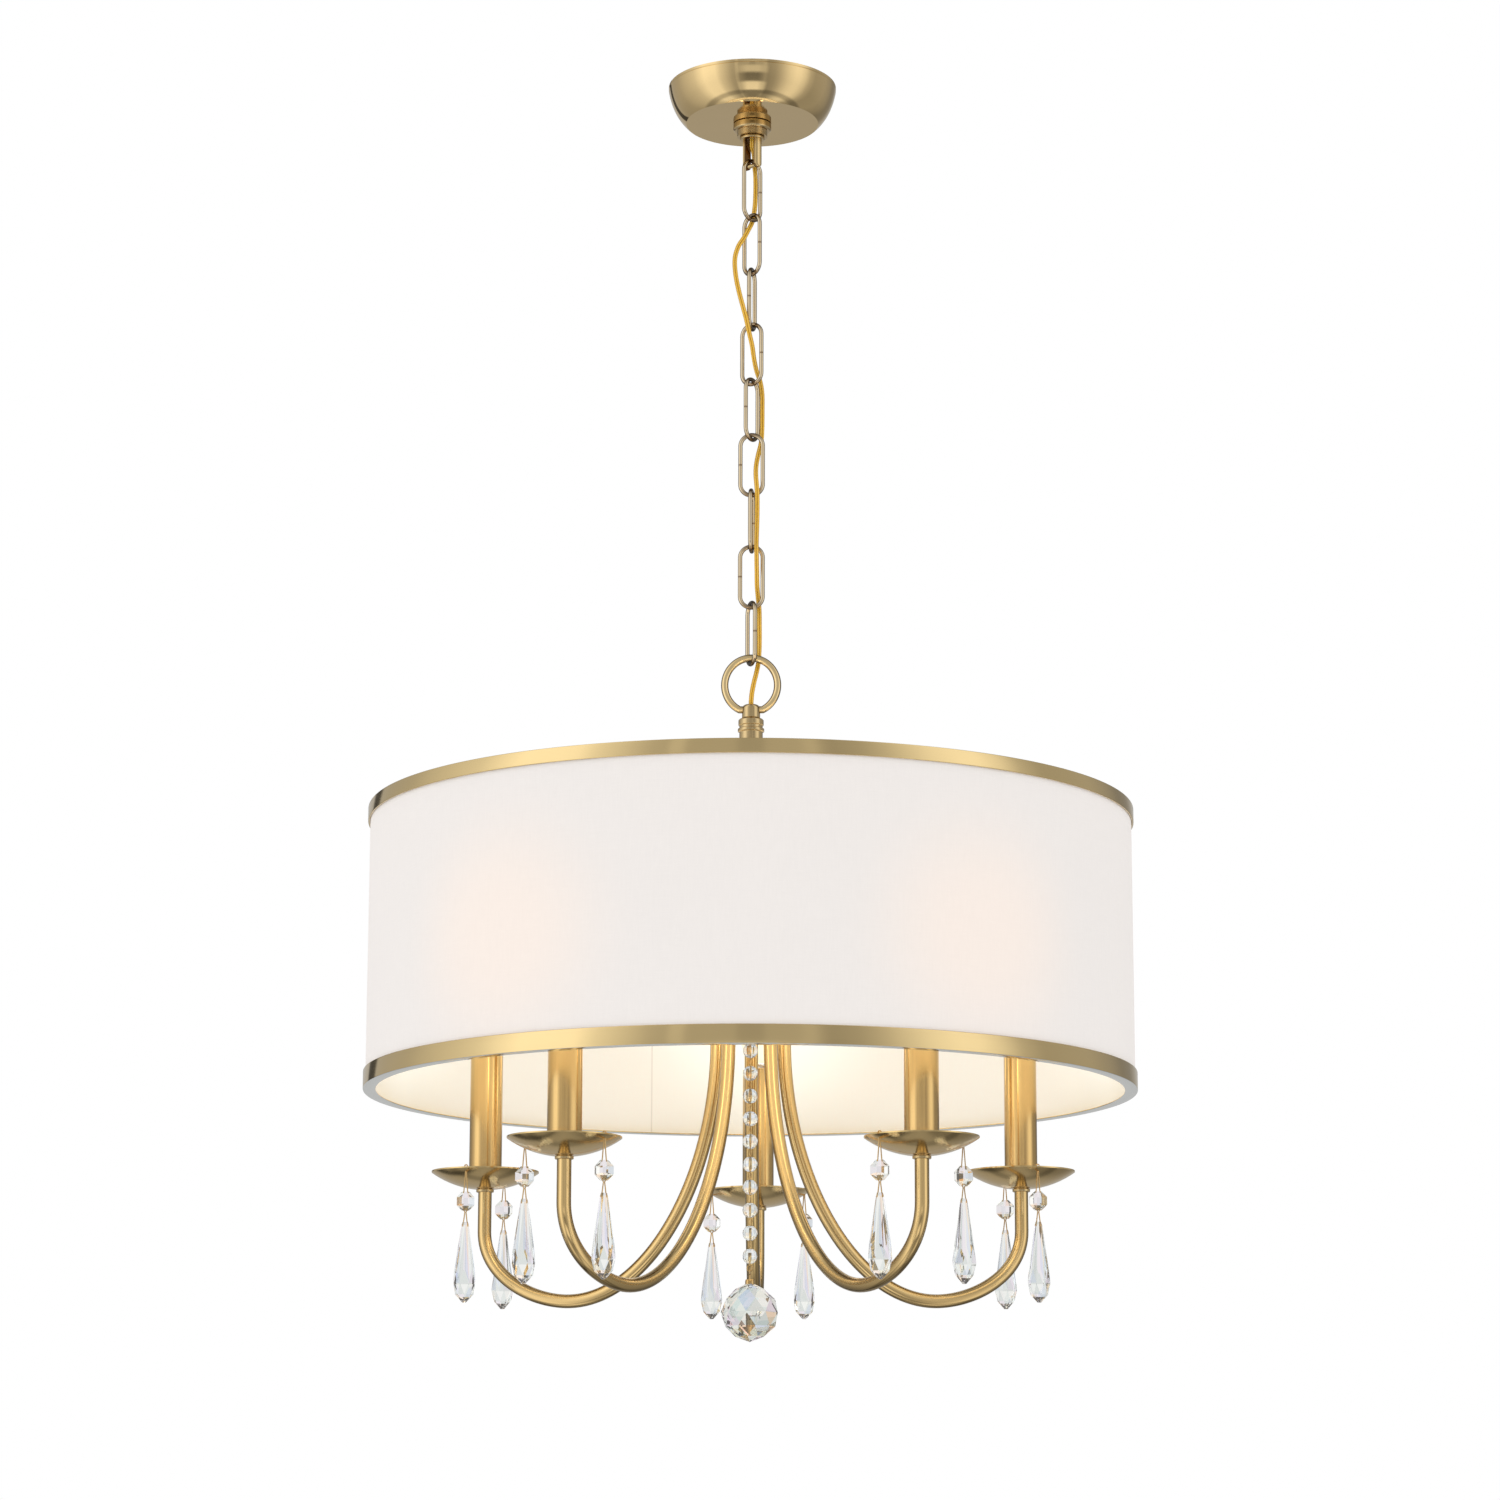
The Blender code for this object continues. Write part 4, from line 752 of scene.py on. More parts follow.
def shaped_by(tree, carrier, name, place=None, angle=35.0, **inputs):
    """Run a tree on a carrier object and return its result as a plain mesh."""
    modifier = carrier.modifiers.new("shape", "NODES")
    modifier.node_group = tree
    for item in tree.interface.items_tree:
        if item.item_type == "SOCKET" and item.in_out == "INPUT" and item.name in inputs:
            modifier[item.identifier] = inputs[item.name]
    graph = bpy.context.evaluated_depsgraph_get()
    mesh = bpy.data.meshes.new_from_object(carrier.evaluated_get(graph))
    mesh.name = name
    carrier_data = carrier.data
    bpy.data.objects.remove(carrier)
    if carrier_data.users == 0 and isinstance(carrier_data, bpy.types.Curve):
        bpy.data.curves.remove(carrier_data)
    if place is not None:
        mesh.transform(place)
    shape = bmesh.new()
    shape.from_mesh(mesh)
    return finished_mesh(shape, mesh, angle, merge=1e-7)


def path_object(points, closed=False):
    """A curve object through points, to carry a tree."""
    curve = bpy.data.curves.new("path", "CURVE")
    curve.dimensions = "3D"
    spline = curve.splines.new("POLY")
    spline.points.add(len(points) - 1)
    for slot, point in zip(spline.points, points):
        slot.co = (*point, 1.0)
    spline.use_cyclic_u = closed
    carrier = bpy.data.objects.new("path", curve)
    bpy.context.collection.objects.link(carrier)
    return carrier


wire = wire_tree()


def mount_wire(name, points, radius, sides, body, node, slot, material, closed=False):
    """Sweep a round wire along points and mount it."""
    mesh = shaped_by(wire, path_object(points, closed), name, Radius=radius, Sides=sides,
                     Material=material)
    mount_piece(name, mesh, body, [node], slot)


across = Vector((cos(HANGER_TURN), sin(HANGER_TURN), 0)) * (HANGER_RADIUS - PIN_RADIUS)
middle = Vector((0, 0, pivots[0].z))
mount_wire("hanger_pin", [middle - across, middle + across], PIN_RADIUS, 24, "ceiling_mount",
           "chain_hanger", "polished_brass", satin_brass)

# Chain: oval links bent from 3.2 mm brass plated wire. Each is closed by a butt weld halfway down
# one side, marked dark, and its ends carry painted shade where it meets its neighbour.
LINK_WIRE = 0.0032
LINK_WIDTH = 0.0200
LINK_LENGTH = 0.0497
LINK_TURNS = [radians(turn) for turn in (45, -45, 77, -30, 60, -5, 85, 0, -69)]
SEAM_SIDES = (1, 1, -1, 1, -1, -1, 1, -1, 1)


def link_tree():
    """Geometry nodes: an upright oval link, its weld at one side marked dark, painted shade at its
    ends.
    """
    group, source = open_tree("chain link", *[(name, "Float") for name in
                                              ("Width", "Length", "Wire", "Weld")])
    wide = value_of(group, "SUBTRACT", source.outputs["Width"], source.outputs["Wire"])
    long = value_of(group, "SUBTRACT", source.outputs["Length"], source.outputs["Wire"])
    frame_line = add_node(group, "GeometryNodeCurvePrimitiveQuadrilateral",
                          {"Width": wide, "Height": long})
    corner = value_of(group, "MULTIPLY", wide, 0.4999)
    oval = add_node(group, "GeometryNodeFilletCurve",
                    {"Curve": frame_line.outputs[0], "Count": 14, "Radius": corner}, mode="POLY")
    even = add_node(group, "GeometryNodeResampleCurve", {"Curve": oval.outputs[0], "Count": 120})
    upright = add_node(group, "GeometryNodeTransform",
                       {0: even.outputs[0], "Rotation": (pi / 2, 0, 0)})
    tube = round_wire(group, upright.outputs[0],
                      value_of(group, "MULTIPLY", source.outputs["Wire"], 0.5), 18)
    place = add_node(group, "ShaderNodeSeparateXYZ",
                     {0: add_node(group, "GeometryNodeInputPosition").outputs[0]})
    half_long = value_of(group, "MULTIPLY", long, 0.5)
    near_end = value_of(group, "DIVIDE", value_of(group, "ABSOLUTE", place.outputs[2]), half_long)
    # Painted shade towards the link's ends, where it meets its neighbour.
    shaded_ends = mapped(group, near_end, 0.80, 1.02, 0.0, 1.0)
    at_side = value_of(group, "MULTIPLY", place.outputs[0], source.outputs["Weld"])
    on_side = value_of(group, "GREATER_THAN", at_side, 0.002)
    closeness = mapped(group, value_of(group, "ABSOLUTE", place.outputs[2]), 0.0003, 0.0009, 0.9,
                       0.0)
    weld = value_of(group, "MULTIPLY", on_side, closeness)
    wear = value_of(group, "MAXIMUM", weld, value_of(group, "MULTIPLY", shaded_ends, 0.75))
    worn = add_node(group, "GeometryNodeStoreNamedAttribute",
                    {0: tube, "Name": "wear", "Value": wear}, data_type="FLOAT", domain="POINT")
    finish_tree(group, worn.outputs[0], source.outputs["Material"])
    return group


oval_link = link_tree()
# Its dark colour is the weld mark and painted shade at the links' ends; rim is painted shade
# towards the wire's outline.
chain_brass = metal("chain brass", (0.87, 0.71, 0.475), 0.06, (300, 300, 30), contrast=0.04,
                    lines=0.0, dark=(0.20, 0.10, 0.04), rim=0.84, cloud=60.0)
for number, (pivot, turn, seam) in enumerate(zip(pivots, LINK_TURNS, SEAM_SIDES), start=1):
    middle = pivot.z + GAP + LINK_WIRE - (LINK_LENGTH - LINK_WIRE) / 2
    place = Matrix.Translation((0, 0, middle)) @ Matrix.Rotation(turn, 4, "Z")
    name = f"chain_link_{number}_wire"
    mesh = shaped_by(oval_link, path_object([(0, 0, 0), (0, 0, 0.01)]), name, place,
                     Width=LINK_WIDTH, Length=LINK_LENGTH, Wire=LINK_WIRE, Weld=float(seam),
                     Material=chain_brass)
    mount_piece(name, mesh, f"link_{number}", [f"chain_link_{number}"], "chain_brass")

# Suspension ring: one turn of 5.4 mm brass rod, open at its foot, whose ends plug into the cross
# hole of a domed holder. The holder screws into a turned collar that reaches down to the shade.
RING_WIRE = 0.0054
RING_PLUG = 0.0084
ROD_END = 0.0028
HOLDER_DOME = 0.0032
HOLDER_SKIRT = 0.0068
HOLDER_BEVEL = 0.0006
STUB_RADIUS = 0.0042
STUB_HOLE = 0.0045
CORD_BORE = 0.0025
low, high = map(Vector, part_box("suspension_ring"))
plug_height = pivots[-1].z
across = (high.x - low.x - RING_WIRE) / 2
top = high.z - RING_WIRE / 2
along = (top - plug_height) / (1 + sqrt(1 - (RING_PLUG / across) ** 2))
open_turn = asin(RING_PLUG / across)
line = [(ROD_END, 0, plug_height)]
line += [(x, 0, z) for x, z in arc_points((0, top - along), across, along, -pi / 2 + open_turn,
                                          3 * pi / 2 - open_turn, 110)]
line += [(-ROD_END, 0, plug_height)]
# Its rim is painted shade towards the rod's outline.
rod_brass = metal("rod brass", (0.97, 0.74, 0.39), 0.07, (500, 500, 10), contrast=0.03, lines=0.0,
                  rim=0.9)
mount_wire("suspension_ring_rod", line, RING_WIRE / 2, 28, "ring", "suspension_ring",
           "ring_brass", rod_brass)

low, high = map(Vector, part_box("ring_holder"))
skirt = plug_height - HOLDER_SKIRT
outline = [(CORD_BORE, high.z)]
outline += arc_points((high.x - HOLDER_DOME, high.z - HOLDER_DOME), HOLDER_DOME, HOLDER_DOME,
                      pi / 2, 0, 10)
outline += [(high.x, skirt + HOLDER_BEVEL), (high.x - HOLDER_BEVEL, skirt), (STUB_RADIUS, skirt),
            (STUB_RADIUS, low.z), (CORD_BORE, low.z)]
mount_turned("ring_holder_dome", outline, 96, "fixture", ["ring_holder"], "satin_brass",
             turned_brass)

low, high = map(Vector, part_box("top_collar"))
tier = 0.00935
barrel = 0.00865
outline = [(STUB_HOLE, high.z), (tier - 0.0010, high.z), (tier, high.z - 0.0010),
           (tier, high.z - 0.0048), (barrel, high.z - 0.0050), (barrel, high.z - 0.0070),
           (high.x, high.z - 0.0074), (high.x, high.z - 0.0096), (barrel, high.z - 0.0099),
           (barrel, low.z), (BORE, low.z), (BORE, low.z + 0.0177), (CORD_BORE, low.z + 0.0177),
           (CORD_BORE, high.z - 0.0053), (STUB_HOLE, high.z - 0.0053)]
mount_turned("top_collar_turned", outline, 96, "fixture", ["top_collar"], "satin_brass",
             turned_brass, 0.0003)

# Shade: fine woven cloth laminated on a stiff white liner, rolled to a drum and lapped at a seam.
# Its edges are held by rolled brass bands, and a painted steel spider carries it on the stem.
SHADE_SIDES = 240
FABRIC_WALL = 0.0015
FABRIC_LEVELS = 12
BAND_WALL = 0.0014
BAND_LIP = 0.0010
SPIDER_ROD = 0.0020
WASHER_RADIUS = 0.0140
WASHER_HALF = 0.0010
LAMP_HEIGHT = -0.685
LAMP_REACH = (0.01, 0.12)
ARM_TURNS = [radians(turn) for turn in (-126, -54, 162, 18, 90)]
SEAM_TURN = radians(108)
fabric_low, fabric_high = map(Vector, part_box("shade_fabric"))


def cloth_material(name, colour, far_glow, near_glow, inside=False):
    """Cloth or liner: fine weave, with a painted glow of lamp light, far from and near each lamp.
    """
    made, tree, shader = new_material(name, Roughness=0.85, Specular_IOR_Level=0.2,
                                      Emission_Strength=1.0)
    spots = add_node(tree, "ShaderNodeTexCoord").outputs["Object"]
    brightest = 0.0
    for turn in ARM_TURNS:
        centre = (fabric_high.x * cos(turn), fabric_high.x * sin(turn), LAMP_HEIGHT)
        away = add_node(tree, "ShaderNodeVectorMath", {0: spots, 1: centre},
                        operation="DISTANCE").outputs["Value"]
        near = mapped(tree, away, *LAMP_REACH, 1.0, 0.0, interpolation_type="SMOOTHERSTEP")
        brightest = value_of(tree, "MAXIMUM", near, brightest)
    vector = named(tree, "straight")
    warp = grain(tree, vector, (900, 900, 90), 1.0, 0.05)
    weft = grain(tree, vector, (90, 90, 2600), 1.0, 0.05)
    clouds = grain(tree, spots, (1, 1, 1), 6.0, 0.02)
    tone = value_of(tree, "MULTIPLY", warp.outputs["Tone"], weft.outputs["Tone"])
    tone = value_of(tree, "MULTIPLY", tone, clouds.outputs["Tone"])
    base = scaled(tree, colour, tone)
    if inside:
        apart = add_node(tree, "ShaderNodeSeparateXYZ", {0: spots})
        turn = value_of(tree, "ARCTAN2", apart.outputs[1], apart.outputs[0])
        away = value_of(tree, "ABSOLUTE", value_of(tree, "SUBTRACT", turn, SEAM_TURN))
        base = scaled(tree, base, mapped(tree, away, 0.0010, 0.0028, 0.80, 1.0))
    # Painted light: near each lamp the colour is warmed, and the glow is painted as emission.
    warmed = add_node(tree, "ShaderNodeVectorMath", {0: base, 1: (1.0, 0.985, 0.955)},
                      operation="MULTIPLY").outputs[0]
    tree.links.new(blend_of(tree, brightest, base, warmed), shader.inputs["Base Color"])
    tree.links.new(blend_of(tree, brightest, (*far_glow, 1), (*near_glow, 1)),
                   shader.inputs["Emission Color"])
    threads = value_of(tree, "ADD", warp.outputs["Height"], weft.outputs["Height"])
    bump = add_node(tree, "ShaderNodeBump", {0: 0.12, 1: 0.0002, "Height": threads})
    tree.links.new(bump.outputs[0], shader.inputs["Normal"])
    return made


# The cloth's outside has a painted glow near each lamp; the liner has a painted glow all over,
# stronger near each lamp.
cloth = cloth_material("shade cloth", (0.895, 0.852, 0.822), (0.0, 0.0, 0.0),
                       (0.085, 0.038, 0.020))
liner = cloth_material("shade liner", (0.90, 0.868, 0.835), (0.118, 0.106, 0.058),
                       (0.185, 0.245, 0.245), inside=True)
fall = fabric_low.z - fabric_high.z
shares = [step / FABRIC_LEVELS for step in range(FABRIC_LEVELS + 1)]
outline = [(fabric_high.x, fabric_high.z + fall * share) for share in shares]
outline += [(fabric_high.x - FABRIC_WALL, fabric_low.z - fall * share) for share in shares]
mesh = turned_mesh("shade_cloth", outline, SHADE_SIDES)
for face in mesh.polygons:
    outward = Vector((face.center.x, face.center.y, 0)).normalized()
    face.material_index = 0 if face.normal.dot(outward) > 0.5 else 1
mount_piece("shade_cloth", mesh, "fixture", ["shade_fabric"], "shade_cloth", cloth, liner)

band_brass = metal("band brass", (0.80, 0.61, 0.305), 0.125, (25, 25, 3200), contrast=0.05,
                   lines=0.02, dark=(0.97, 0.99, 0.95), brushed=0.7)
for node, reach, up in (("shade_top_ring", 0.0050, False), ("shade_bottom_ring", 0.0093, True)):
    low, high = map(Vector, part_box(node))
    edge, far, way = (low.z, high.z, 1) if up else (high.z, low.z, -1)
    inner = high.x - BAND_WALL
    lip = edge + way * BAND_LIP
    outline = [(high.x, edge), (high.x, far), (inner, far), (inner, lip), (high.x - reach, lip),
               (high.x - reach, edge)]
    mesh = turned_mesh(node + "_roll", eased(outline, 0.00045), SHADE_SIDES)
    # The bottom band's underside faces are marked for band brass's second, near white colour.
    pale = mesh.attributes.new("wear", "FLOAT", "FACE")
    for face in mesh.polygons:
        pale.data[face.index].value = float(up and face.normal.z < -0.7)
    mount_piece(node + "_roll", mesh, "fixture", [node], "band_brass", band_brass)

enamel = speckled("white enamel", (0.82, 0.80, 0.75), 240.0, 0.10, Roughness=0.35)[0]
low, high = map(Vector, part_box("shade_spider"))
hoop = fabric_high.x - FABRIC_WALL - 2 * GAP - SPIDER_ROD
middle = (low.z + high.z) / 2
outline = [(BORE, middle + WASHER_HALF), (WASHER_RADIUS, middle + WASHER_HALF),
           (WASHER_RADIUS, middle - WASHER_HALF), (BORE, middle - WASHER_HALF)]
mount_turned("spider_washer", outline, 64, "fixture", ["shade_spider"], "frame_steel", enamel,
             0.0004)
turns = [2 * pi * step / SHADE_SIDES for step in range(SHADE_SIDES)]
paths = [[(hoop * cos(turn), hoop * sin(turn), middle) for turn in turns]]
for number in range(3):
    turn = pi / 2 + 2 * pi * number / 3
    paths.append([(radius * cos(turn), radius * sin(turn), middle) for radius in (0.010, hoop)])
for number, path in enumerate(paths):
    mount_wire(f"spider_wire_{number}", path, SPIDER_ROD, 16, "fixture", "shade_spider",
               "frame_steel", enamel, closed=number == 0)

# Stem, hub and cap: a brass tube stands in a turned hub with a screwed lid; a finial nut closes
# the hub from below and lets the bead string's headed pin out.
STEM_RADIUS = 0.0080
STEM_THREAD = 0.0048
STEM_BORE = 0.0034
STEM_SHOULDER = 0.0180
STEM_LENGTH = 0.0634
HUB_FLOOR = 0.003
HUB_WALL = 0.002
CAP_RADIUS = 0.0120
CAP_HOLE = 0.0015
low, high = map(Vector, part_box("centre_stem"))
top = high.z - STEM_SHOULDER
under = top - STEM_LENGTH
outline = [(STEM_BORE, high.z), (STEM_THREAD, high.z), (STEM_THREAD, top), (STEM_RADIUS, top),
           (STEM_RADIUS, under), (STEM_THREAD, under), (STEM_THREAD, low.z), (STEM_BORE, low.z)]
mount_turned("centre_stem_tube", outline, 64, "fixture", ["centre_stem"], "satin_brass",
             satin_brass, 0.0005)
low, high = map(Vector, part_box("hub_cover"))
outline = [(BORE, high.z), (high.x - 0.004, high.z), (high.x, high.z - 0.0012), (high.x, low.z),
           (BORE, low.z)]
mount_turned("hub_lid", outline, 96, "fixture", ["hub_cover"], "satin_brass", turned_brass, 0.0008)
low, high = map(Vector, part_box("arm_hub"))
hub_under = low.z
inner = high.x - HUB_WALL
floor = hub_under + HUB_FLOOR
outline = [(high.x, high.z), (high.x, hub_under), (BORE, hub_under), (BORE, floor), (inner, floor),
           (inner, high.z)]
mount_turned("hub_bowl", outline, 128, "fixture", ["arm_hub"], "satin_brass", turned_brass, 0.0015,
             5)
low, high = map(Vector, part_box("hub_cap"))
outline = [(BORE, high.z), (CAP_RADIUS, high.z), (CAP_RADIUS, high.z - 0.0040),
           (0.0108, high.z - 0.0052), (0.0092, high.z - 0.0076), (0.0064, high.z - 0.0112),
           (0.0050, low.z), (CAP_HOLE, low.z), (CAP_HOLE, low.z + 0.0022),
           (0.0036, low.z + 0.0022), (BORE, low.z + 0.0075)]
mount_turned("hub_finial", outline, 64, "fixture", ["hub_cap"], "satin_brass", turned_brass,
             0.0006)

# Arms: 10 mm brass tube, bent to a deep scroll that falls from the hub's floor and turns up under
# the pan, then drawn satin. A small turned flange near the tip carries the pan.
ARM_RADIUS = 0.0050
ARM_ROOT = 0.0256
ARM_BELLY = 0.1395
ARM_REACH = 0.2075
ARM_FALL = 0.1866
FLANGE_RADIUS = 0.0065
FLANGE_HEIGHT = 0.0024
bend_top = hub_under - 0.0630
lowest = bend_top - ARM_FALL
bend_end = lowest + 0.0526
flange_top = bend_end + 0.0310


def bezier_points(start, first, second, end, steps):
    """Points of a cubic curve, without its start."""
    made = []
    for step in range(1, steps + 1):
        share = step / steps
        rest = 1 - share
        made.append(start * rest ** 3 + first * 3 * rest ** 2 * share
                    + second * 3 * rest * share ** 2 + end * share ** 3)
    return made


def down(length):
    """A step straight down."""
    return Vector((0, 0, -length))


root = Vector((ARM_ROOT, 0, bend_top))
belly = Vector((ARM_BELLY, 0, lowest))
tip = Vector((ARM_REACH, 0, bend_end))
arm_line = [Vector((ARM_ROOT, 0, hub_under + 0.011)), Vector((ARM_ROOT, 0, hub_under - 0.02)), root]
arm_line += bezier_points(root, root + down(0.1050), belly - Vector((0.0594, 0, 0)), belly, 44)
arm_line += bezier_points(belly, belly + Vector((0.0293, 0, 0)), tip + down(0.0331), tip, 30)
arm_line += [Vector((ARM_REACH, 0, bend_end + 0.01)), Vector((ARM_REACH, 0, flange_top + 0.006))]
# Its rim is painted shade towards the tube's outline.
arm_brass = metal("arm brass", (0.88, 0.62, 0.275), 0.15, (420, 420, 2), contrast=0.16, lines=0.0,
                  drawn_out=0.5, rim=0.62, cloud=4.0)
centres = [(ARM_REACH * cos(turn), ARM_REACH * sin(turn)) for turn in ARM_TURNS]
tube_hole = ARM_RADIUS - 0.0001
outline = [(tube_hole, flange_top), (FLANGE_RADIUS, flange_top),
           (FLANGE_RADIUS, flange_top - FLANGE_HEIGHT), (tube_hole, flange_top - FLANGE_HEIGHT)]
for number, (turn, centre) in enumerate(zip(ARM_TURNS, centres), start=1):
    swung = [Matrix.Rotation(turn, 3, "Z") @ point for point in arm_line]
    mount_wire(f"arm_{number}_tube", swung, ARM_RADIUS, 32, "fixture", f"arm_{number}",
               "satin_brass", arm_brass)
    mount_turned(f"arm_{number}_flange", outline, 48, "fixture", [f"arm_{number}"], "satin_brass",
                 turned_brass, 0.0011, 5, centre)

# Drip pans, sleeves and lamps: each pan is a shallow dish spun from sheet brass, and a drawn
# sleeve stands on it over the moulded socket. The candle lamps are lit.
PAN_CURVE = 0.0687
PAN_FLAT = 0.0095
PAN_RADIUS = 0.0395
PAN_HOLE = 0.0053
PAN_WALL = 0.001
PAN_STEPS = 26
SLEEVE_RADIUS = 0.0120
SLEEVE_BORE = 0.0104
LAMP_FOOT = 0.0057
LAMP_SHELL = 0.0070
LAMP_OUTLINE = ((0.0, 0.0048), (0.0060, 0.0048), (0.0078, 0.0075), (0.0115, 0.0150),
                (0.0150, 0.0260), (0.0160, 0.0340), (0.0150, 0.0440), (0.0120, 0.0550),
                (0.0080, 0.0650), (0.0045, 0.0720), (0.0020, 0.0765), (0.0, 0.0785))


def pan_rise(radius):
    """Height of the pan's underside above its flat middle."""
    return sqrt(PAN_CURVE ** 2 - PAN_FLAT ** 2) - sqrt(PAN_CURVE ** 2 - radius ** 2)


pan_brass = metal("pan brass", (0.76, 0.555, 0.26), 0.15, (60, 60, 2600), contrast=0.04,
                  lines=0.01, brushed=0.5)
# Its rim is painted shade towards the sleeve's outline.
sleeve_brass = metal("sleeve brass", (0.82, 0.55, 0.225), 0.17, (700, 700, 4), contrast=0.10,
                     lines=0.0, brushed=0.85, rim=0.35)
moulding = speckled("socket moulding", (0.86, 0.84, 0.79), 420.0, 0.08, Roughness=0.45)[0]
lamp_glass, shader, _, warm = speckled("lit lamp glass", (1.0, 0.84, 0.62), 90.0, 0.10,
                                       Roughness=0.25)
tree = lamp_glass.node_tree
tree.links.new(warm, shader.inputs["Emission Color"])
looked_at = add_node(tree, "ShaderNodeLightPath").outputs["Is Camera Ray"]
edge = add_node(tree, "ShaderNodeLayerWeight", {0: 0.5}).outputs["Facing"]
seen_glow = value_of(tree, "MULTIPLY_ADD", edge, -0.35, 0.62)
glow = add_node(tree, "ShaderNodeMix", {0: looked_at, 2: 2.6, 3: seen_glow}, data_type="FLOAT")
tree.links.new(glow.outputs[0], shader.inputs["Emission Strength"])
lamp_cap = metal("lamp cap", (0.86, 0.84, 0.80), 0.25, (60, 60, 1500), contrast=0.2, lines=0.1)

radii = [PAN_FLAT + (PAN_RADIUS - PAN_FLAT) * step / PAN_STEPS for step in range(PAN_STEPS + 1)]
for number, centre in enumerate(centres, start=1):
    low, high = map(Vector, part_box(f"bobeche_{number}"))
    outline = [(PAN_HOLE, low.z)]
    outline += [(radius, low.z + pan_rise(radius)) for radius in radii]
    outline += [(radius, low.z + pan_rise(radius) + PAN_WALL) for radius in reversed(radii)]
    outline += [(PAN_HOLE, low.z + PAN_WALL)]
    mount_turned(f"bobeche_{number}_dish", outline, 128, "fixture", [f"bobeche_{number}"],
                 "pan_brass", pan_brass, centre=centre)
    low, high = map(Vector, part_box(f"candle_sleeve_{number}"))
    outline = [(SLEEVE_RADIUS, high.z), (SLEEVE_RADIUS, low.z), (SLEEVE_BORE, low.z),
               (SLEEVE_BORE, high.z)]
    mount_turned(f"candle_sleeve_{number}_tube", outline, 96, "fixture",
                 [f"candle_sleeve_{number}"], "satin_brass", sleeve_brass, 0.0006, centre=centre)
    dress(f"lamp_socket_{number}", moulding)
    top = high.z
    outline = [(0.0, top - 0.020), (LAMP_FOOT, top - 0.020), (LAMP_FOOT, top + 0.001),
               (LAMP_SHELL, top + 0.003), (LAMP_SHELL, top + 0.0045), (0.0, top + 0.0045)]
    mount_turned(f"lamp_{number}_cap", outline, 48, "fixture", [], "satin_brass", lamp_cap, 0.0004,
                 centre=centre, closed=False)
    bulb = [Vector((radius, 0, top + height)) for radius, height in LAMP_OUTLINE]
    outline = [(0.0, bulb[0].z)]
    outline += [(max(point.x, 0.0), point.z) for point in smooth_line(bulb[1:], 0.0022)[:-1]]
    outline += [(0.0, bulb[-1].z)]
    mount_turned(f"lamp_{number}_glass", outline, 40, "fixture", [], "socket_plastic", lamp_glass,
                 centre=centre)

# Crystal pendants: machine cut lead glass. From each pan hole hangs a brass hairpin, then an
# octagon bead, a second pin and a long drop with kite facets at its foot.
HAIRPIN_WIRE = 0.00042
EYE_RADIUS = 0.0011
NIP_HALF = 0.00045
# The glass also glows faintly: painted glow.
crystal, tree, shader = new_material(
    "cut crystal", Roughness=0.0, IOR=1.44, Transmission_Weight=1.0,
    Emission_Color=(1.0, 0.96, 0.90, 1), Emission_Strength=0.02)
tree.links.new(named(tree, "facet", "Color"), shader.inputs["Base Color"])
pin_brass = metal("pin brass", (0.64, 0.435, 0.19), 0.18, (900, 900, 60), contrast=0.15, lines=0.04)
# Painted reflections: each facet gets a colour, white, grey or coloured, for the reflections and
# colour fire of the cut glass.
FACET_REFLECTIONS = ((0.97, 0.98, 0.97), (0.80, 0.83, 0.82), (0.97, 0.95, 0.92), (0.70, 0.74, 0.73),
               (0.76, 0.82, 0.94), (0.98, 0.98, 0.96), (1.00, 0.82, 0.66), (0.88, 0.93, 0.91),
               (0.93, 0.85, 0.93), (0.97, 0.99, 0.96), (0.82, 0.86, 0.84))


def paint_facet_reflections(mesh, number_of, power=1.0):
    """Give each face a painted reflection colour by its number, deeper with a higher power."""
    reflection_colours = mesh.attributes.new("facet", "FLOAT_COLOR", "CORNER")
    for face in mesh.polygons:
        reflection = FACET_REFLECTIONS[number_of(face.index) % len(FACET_REFLECTIONS)]
        colour = [part ** power for part in reflection]
        for corner in face.loop_indices:
            reflection_colours.data[corner].color = (*colour, 1.0)


def cut_mesh(name, rings, place, turn=0.0, reflection_step=3, reflection_power=1.25):
    """Cut glass from rings of (half width, half depth, height, half step, corners), flat faced.

    Its facets take the painted reflection colours in steps, made deeper by a power."""
    shape = bmesh.new()
    made = []
    for wide, deep, level, offset, corners in rings:
        if corners == 1:
            made.append([shape.verts.new((0, 0, level))])
            continue
        ring = []
        for step in range(corners):
            angle = 2 * pi * (step + offset) / corners
            ring.append(shape.verts.new((wide * cos(angle), deep * sin(angle), level)))
        made.append(ring)
    bmesh.ops.convex_hull(shape, input=shape.verts)
    bmesh.ops.delete(shape, geom=[v for v in shape.verts if not v.link_faces], context="VERTS")
    bmesh.ops.dissolve_limit(shape, angle_limit=radians(3), verts=shape.verts, edges=shape.edges)
    bmesh.ops.recalc_face_normals(shape, faces=shape.faces)
    mesh = bpy.data.meshes.new(name)
    shape.to_mesh(mesh)
    shape.free()
    mesh.transform(Matrix.Translation(place) @ Matrix.Rotation(turn, 4, "Z"))
    faces = len(mesh.polygons)
    paint_facet_reflections(mesh, lambda index: index * reflection_step + faces, reflection_power)
    return mesh


def hairpin(name, top, foot, width, turn, nipped, body, node):
    """A brass wire bent to an eye, held together as far as nipped below it, whose ends then part
    to a width at the foot, in the glass."""
    across = Vector((cos(turn), sin(turn), 0))
    neck = top + down(EYE_RADIUS * 2.4)
    waist = top + down(nipped)
    path = [foot - across * width / 2, waist - across * NIP_HALF, neck - across * NIP_HALF]
    for step in range(13):
        angle = radians(215 - 250 * step / 12)
        path.append(top + across * EYE_RADIUS * cos(angle) + down(EYE_RADIUS * (1 - sin(angle))))
    path += [neck + across * NIP_HALF, waist + across * NIP_HALF, foot + across * width / 2]
    mount_wire(name, path, HAIRPIN_WIRE, 8, body, node, "crystal", pin_brass)


